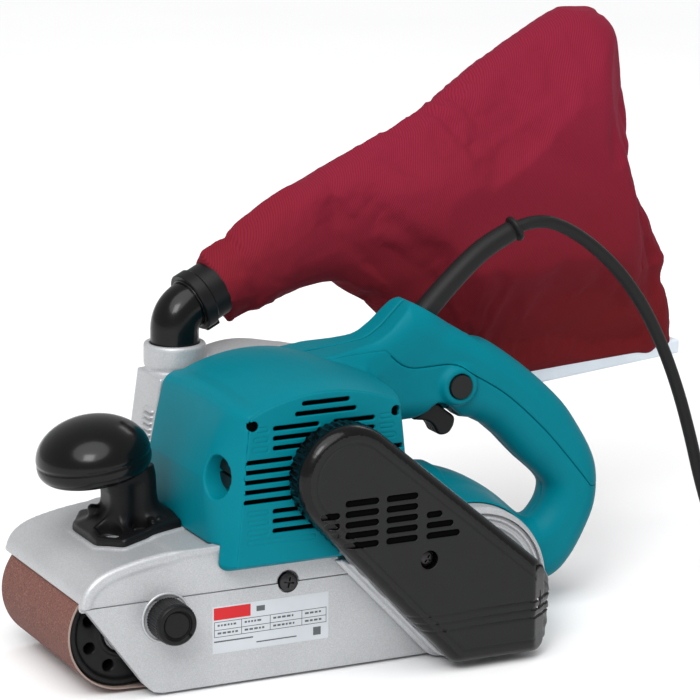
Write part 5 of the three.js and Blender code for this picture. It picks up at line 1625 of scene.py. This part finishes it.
def bag_shell():
    """The filled bag before it is inflated: a round neck that opens into a pinched pillow."""
    field = Field((10, -37, corner_z - 78), (364, 37, corner_z + 156), 3.0)
    outline = rounded_line(bag_line, 4, closed=False) + rounded_line(bag_under, 4, closed=False)
    inside = np.maximum(-field.polygon(outline), 0)
    share = np.clip(inside / 36.0, 0, 1)
    pillow = np.sqrt(1 - (1 - share) ** 2)
    along = np.clip((field.x - 40) / 120, 0, 1)
    along = along * along * (3 - 2 * along)
    full = 20 + (bag_full - 20) * along
    foot = np.clip((field.z - (corner_z - 66)) / 75, 0, 1)
    foot = 0.33 + 0.67 * foot * (2 - foot)
    half = full * pillow * np.where(field.x > 150, foot, np.maximum(foot, 0.9))
    values = np.maximum(np.abs(field.y) - half, -inside + 0.4) * 0.8
    aim = Vector((math.cos(bag_lift), 0, math.sin(bag_lift)))
    mouth = Vector((0, 0, corner_z)) + aim * (bag_mouth - 12)
    neck = np.minimum(
        field.stick(tuple(mouth), tuple(mouth + aim * 45), 17.6),
        field.stick(tuple(mouth + aim * 40), tuple(mouth + aim * 75), 19.5),
    )
    values = blend(values, neck, 12)
    behind = (field.x - mouth.x) * aim.x + (field.z - mouth.z) * aim.z - 12
    return skin("dust_bag_cloth", field, common(values, -behind, 2.0), bag_cloth)


def inflate(piece, frames=16, most=7.0):
    """Cloth under slight pressure, held at the collar and the rail, then applied."""
    start = [v.co.copy() for v in piece.data.vertices]
    group = piece.vertex_groups.new(name="held")
    for v in piece.data.vertices:
        x, z = v.co.x * 1000, v.co.z * 1000
        if 0.9 * x + 0.4 * (z - corner_z) < 34 or z < corner_z - 60:
            group.add([v.index], 1.0, "REPLACE")
    change = piece.modifiers.new("cloth", "CLOTH")
    settings = change.settings
    settings.quality = 5
    settings.mass = 0.3
    settings.tension_stiffness = 25
    settings.compression_stiffness = 25
    settings.shear_stiffness = 8
    settings.bending_stiffness = 0.35
    settings.shrink_min = -0.035
    settings.use_pressure = True
    settings.uniform_pressure_force = 3.0
    settings.vertex_group_mass = "held"
    settings.effector_weights.gravity = 0
    change.collision_settings.use_collision = False
    scene = bpy.context.scene
    change.point_cache.frame_start, change.point_cache.frame_end = 1, frames
    for number in range(1, frames + 1):
        scene.frame_set(number)
    graph = bpy.context.evaluated_depsgraph_get()
    ended = piece.evaluated_get(graph).data
    after = [v.co.copy() for v in ended.vertices]
    piece.modifiers.clear()
    for v, before, now in zip(piece.data.vertices, start, after):
        move = (now - before) * 1000
        if move.length > most:
            move *= most / move.length
        v.co = before + move * MM
    scene.frame_set(1)


def gather(piece):
    """Folds that run back from the collar, and the crease down the bag's rear gusset."""
    mesh = piece.data
    count = len(mesh.vertices)
    points = np.empty(count * 3, np.float32)
    normals = np.empty(count * 3, np.float32)
    mesh.vertices.foreach_get("co", points)
    mesh.vertices.foreach_get("normal", normals)
    points, normals = points.reshape(-1, 3) * 1000, normals.reshape(-1, 3)
    x, y, z = points.T
    push = np.zeros(count)
    reach = np.hypot(x - 10, z - corner_z)
    angle = np.degrees(np.arctan2(z - corner_z + 6, x + 20))
    fade = 0.5 * np.exp(-(((reach - 85) / 40) ** 2))
    # each fold's angle from the collar, its width in degrees and its height in mm
    folds = ((2, 2.2, 2.4), (9, 2.6, -1.6), (16, 2.2, 1.5))
    folds += ((-7, 2.5, -2.2), (-15, 2.4, 2.0), (25, 3, -1.2))
    for centre, width, depth in folds:
        push += fade * depth * np.exp(-(((angle - centre) / width) ** 2)) * np.where(y < 0, 1, 0.7)
    edge_x = 284 + (corner_z + 150 - z) * 0.285
    across = x - edge_x
    lower = np.clip((corner_z + 120 - z) / 60, 0, 1)
    push -= 1.6 * np.exp(-((across / 3.2) ** 2)) * lower
    push += 1.0 * np.exp(-(((across + 9) / 5.5) ** 2)) * lower
    # soft creases: start, end, width and height
    for (ax, az), (bx, bz), width, depth in (
        ((120, corner_z - 10), (230, corner_z + 30), 7, -1.3),
        ((150, corner_z - 34), (250, corner_z - 20), 6, 1.2),
        ((200, corner_z + 95), (300, corner_z + 40), 10, -1.2),
        ((90, corner_z + 42), (190, corner_z + 80), 6, 0.9),
        ((250, corner_z - 48), (330, corner_z - 20), 7, -1.3),
        ((180, corner_z + 10), (300, corner_z - 5), 9, 1.0),
    ):
        ex, ez = bx - ax, bz - az
        t = ((x - ax) * ex + (z - az) * ez) / (ex * ex + ez * ez)
        ends = np.clip(1 - ((t - 0.5) / 0.62) ** 2, 0, 1)
        t = np.clip(t, 0, 1)
        away = np.hypot(x - ax - t * ex, z - az - t * ez)
        push += depth * ends * np.exp(-((away / width) ** 2)) * np.where(y < 0, 1, -0.8)
    points += normals * push[:, None]
    mesh.vertices.foreach_set("co", (points * MM).astype(np.float32).ravel())
    mesh.update()


def add_bag():
    bag = bag_shell()
    inflate(bag)
    gather(bag)
    finer = bag.modifiers.new("finer", "SUBSURF")
    finer.levels = finer.render_levels = 1
    in_bag_plane(bag)
    place(bag, "dust_swivel", "bag_cloth", "dust_bag")
    rail = shift(0, corner_z, (184, -76), (361.5, -68.2), (361.5, -59.2), (184, -66.5))
    strip = prism("bag_rail_strip", rail, -7, 7, rail_white, 1.4, 3)
    in_bag_plane(strip)
    place(strip, "dust_swivel", "rail_plastic", "bag_rail")


add_bag()


# ------------------------------------------------------------ finishes on the CAD's own pieces
slot_finish = {
    "teal_plastic": teal,
    "painted_alloy": grey_paint,
    "black_plastic": black,
    "gloss_black": glossy,
    "cover_plastic": charcoal,
    "steel": steel,
    "dark_steel": black_steel,
    "machined_alloy": bare_alloy,
    "copper": copper,
    "brass": brass,
    "rubber": rubbery,
    "abrasive": grit_cloth,
    "graphite": carbon,
    "bag_cloth": bag_cloth,
    "rail_plastic": rail_white,
}
edge_widths = {
    "side_plate": 0.7,
    "trigger": 1.4,
    "lock_button": 1.0,
    "bag_rail": 1.2,
    "tension_lever": 0.8,
    "brush_cap_front": 0.6,
    "brush_cap_rear": 0.6,
    "drive_cover_screw": 0.4,
}
slots = {row["node"]: row["material_slot"] for row in frame["record"]["subparts"]}
for name, piece in nodes.items():
    finish = slot_finish[slots[name]]
    piece.data.materials.clear()
    piece.data.materials.append(finish)
    if name in edge_widths:
        soften(piece, edge_widths[name], 3, 40)


# ------------------------------------------------------------ floor and light
def add_floor():
    made, tree, shader = new_material("pale_floor")
    cloud = noise(tree, 3, 2, 0.5)
    stops = [(0.3, (0.90, 0.905, 0.91)), (0.7, (0.92, 0.92, 0.925))]
    tint = ramp(tree, cloud.outputs["Fac"], stops)
    wire(tree, tint, "Color", shader, "Base Color")
    shader.inputs["Roughness"].default_value = 0.9
    side, level = 14.0, -0.0004
    verts = [(x, y, level) for x, y in ((-side, -side), (side, -side), (side, side), (-side, side))]
    make_object("floor", verts, [(0, 1, 2, 3)], made, smooth=False)


def add_light(name, at, towards, size, power, colour=(1, 1, 1)):
    data = bpy.data.lights.new(name, "AREA")
    data.shape = "RECTANGLE"
    data.size, data.size_y = size
    data.energy = power
    data.color = colour
    light = add_to_scene(name, data)
    light.location = at
    light.rotation_euler = (Vector(towards) - Vector(at)).to_track_quat("-Z", "Y").to_euler()


def add_world():
    world = bpy.data.worlds.new("studio")
    bpy.context.scene.world = world
    world.use_nodes = True
    back = world.node_tree.nodes["Background"]
    set_values(back, {"Color": (1.0, 1.0, 1.0, 1), "Strength": 0.46})


def add_sun():
    """An even wide-angled light from the upper left that keeps the whole floor white."""
    data = bpy.data.lights.new("sky_panel", "SUN")
    data.energy = 2.3
    data.angle = math.radians(60)
    light = add_to_scene("sky_panel", data)
    light.rotation_euler = Vector((0.35, 0.45, -0.85)).to_track_quat("-Z", "Y").to_euler()


add_floor()
add_world()
add_sun()
add_light("key", (-1.1, -1.3, 1.5), (0.05, 0, 0.12), (0.7, 0.7), 15)
add_light("rim", (1.3, 0.9, 1.1), (0.05, 0, 0.15), (0.6, 1.0), 5)
bpy.context.scene.view_settings.view_transform = "Standard"
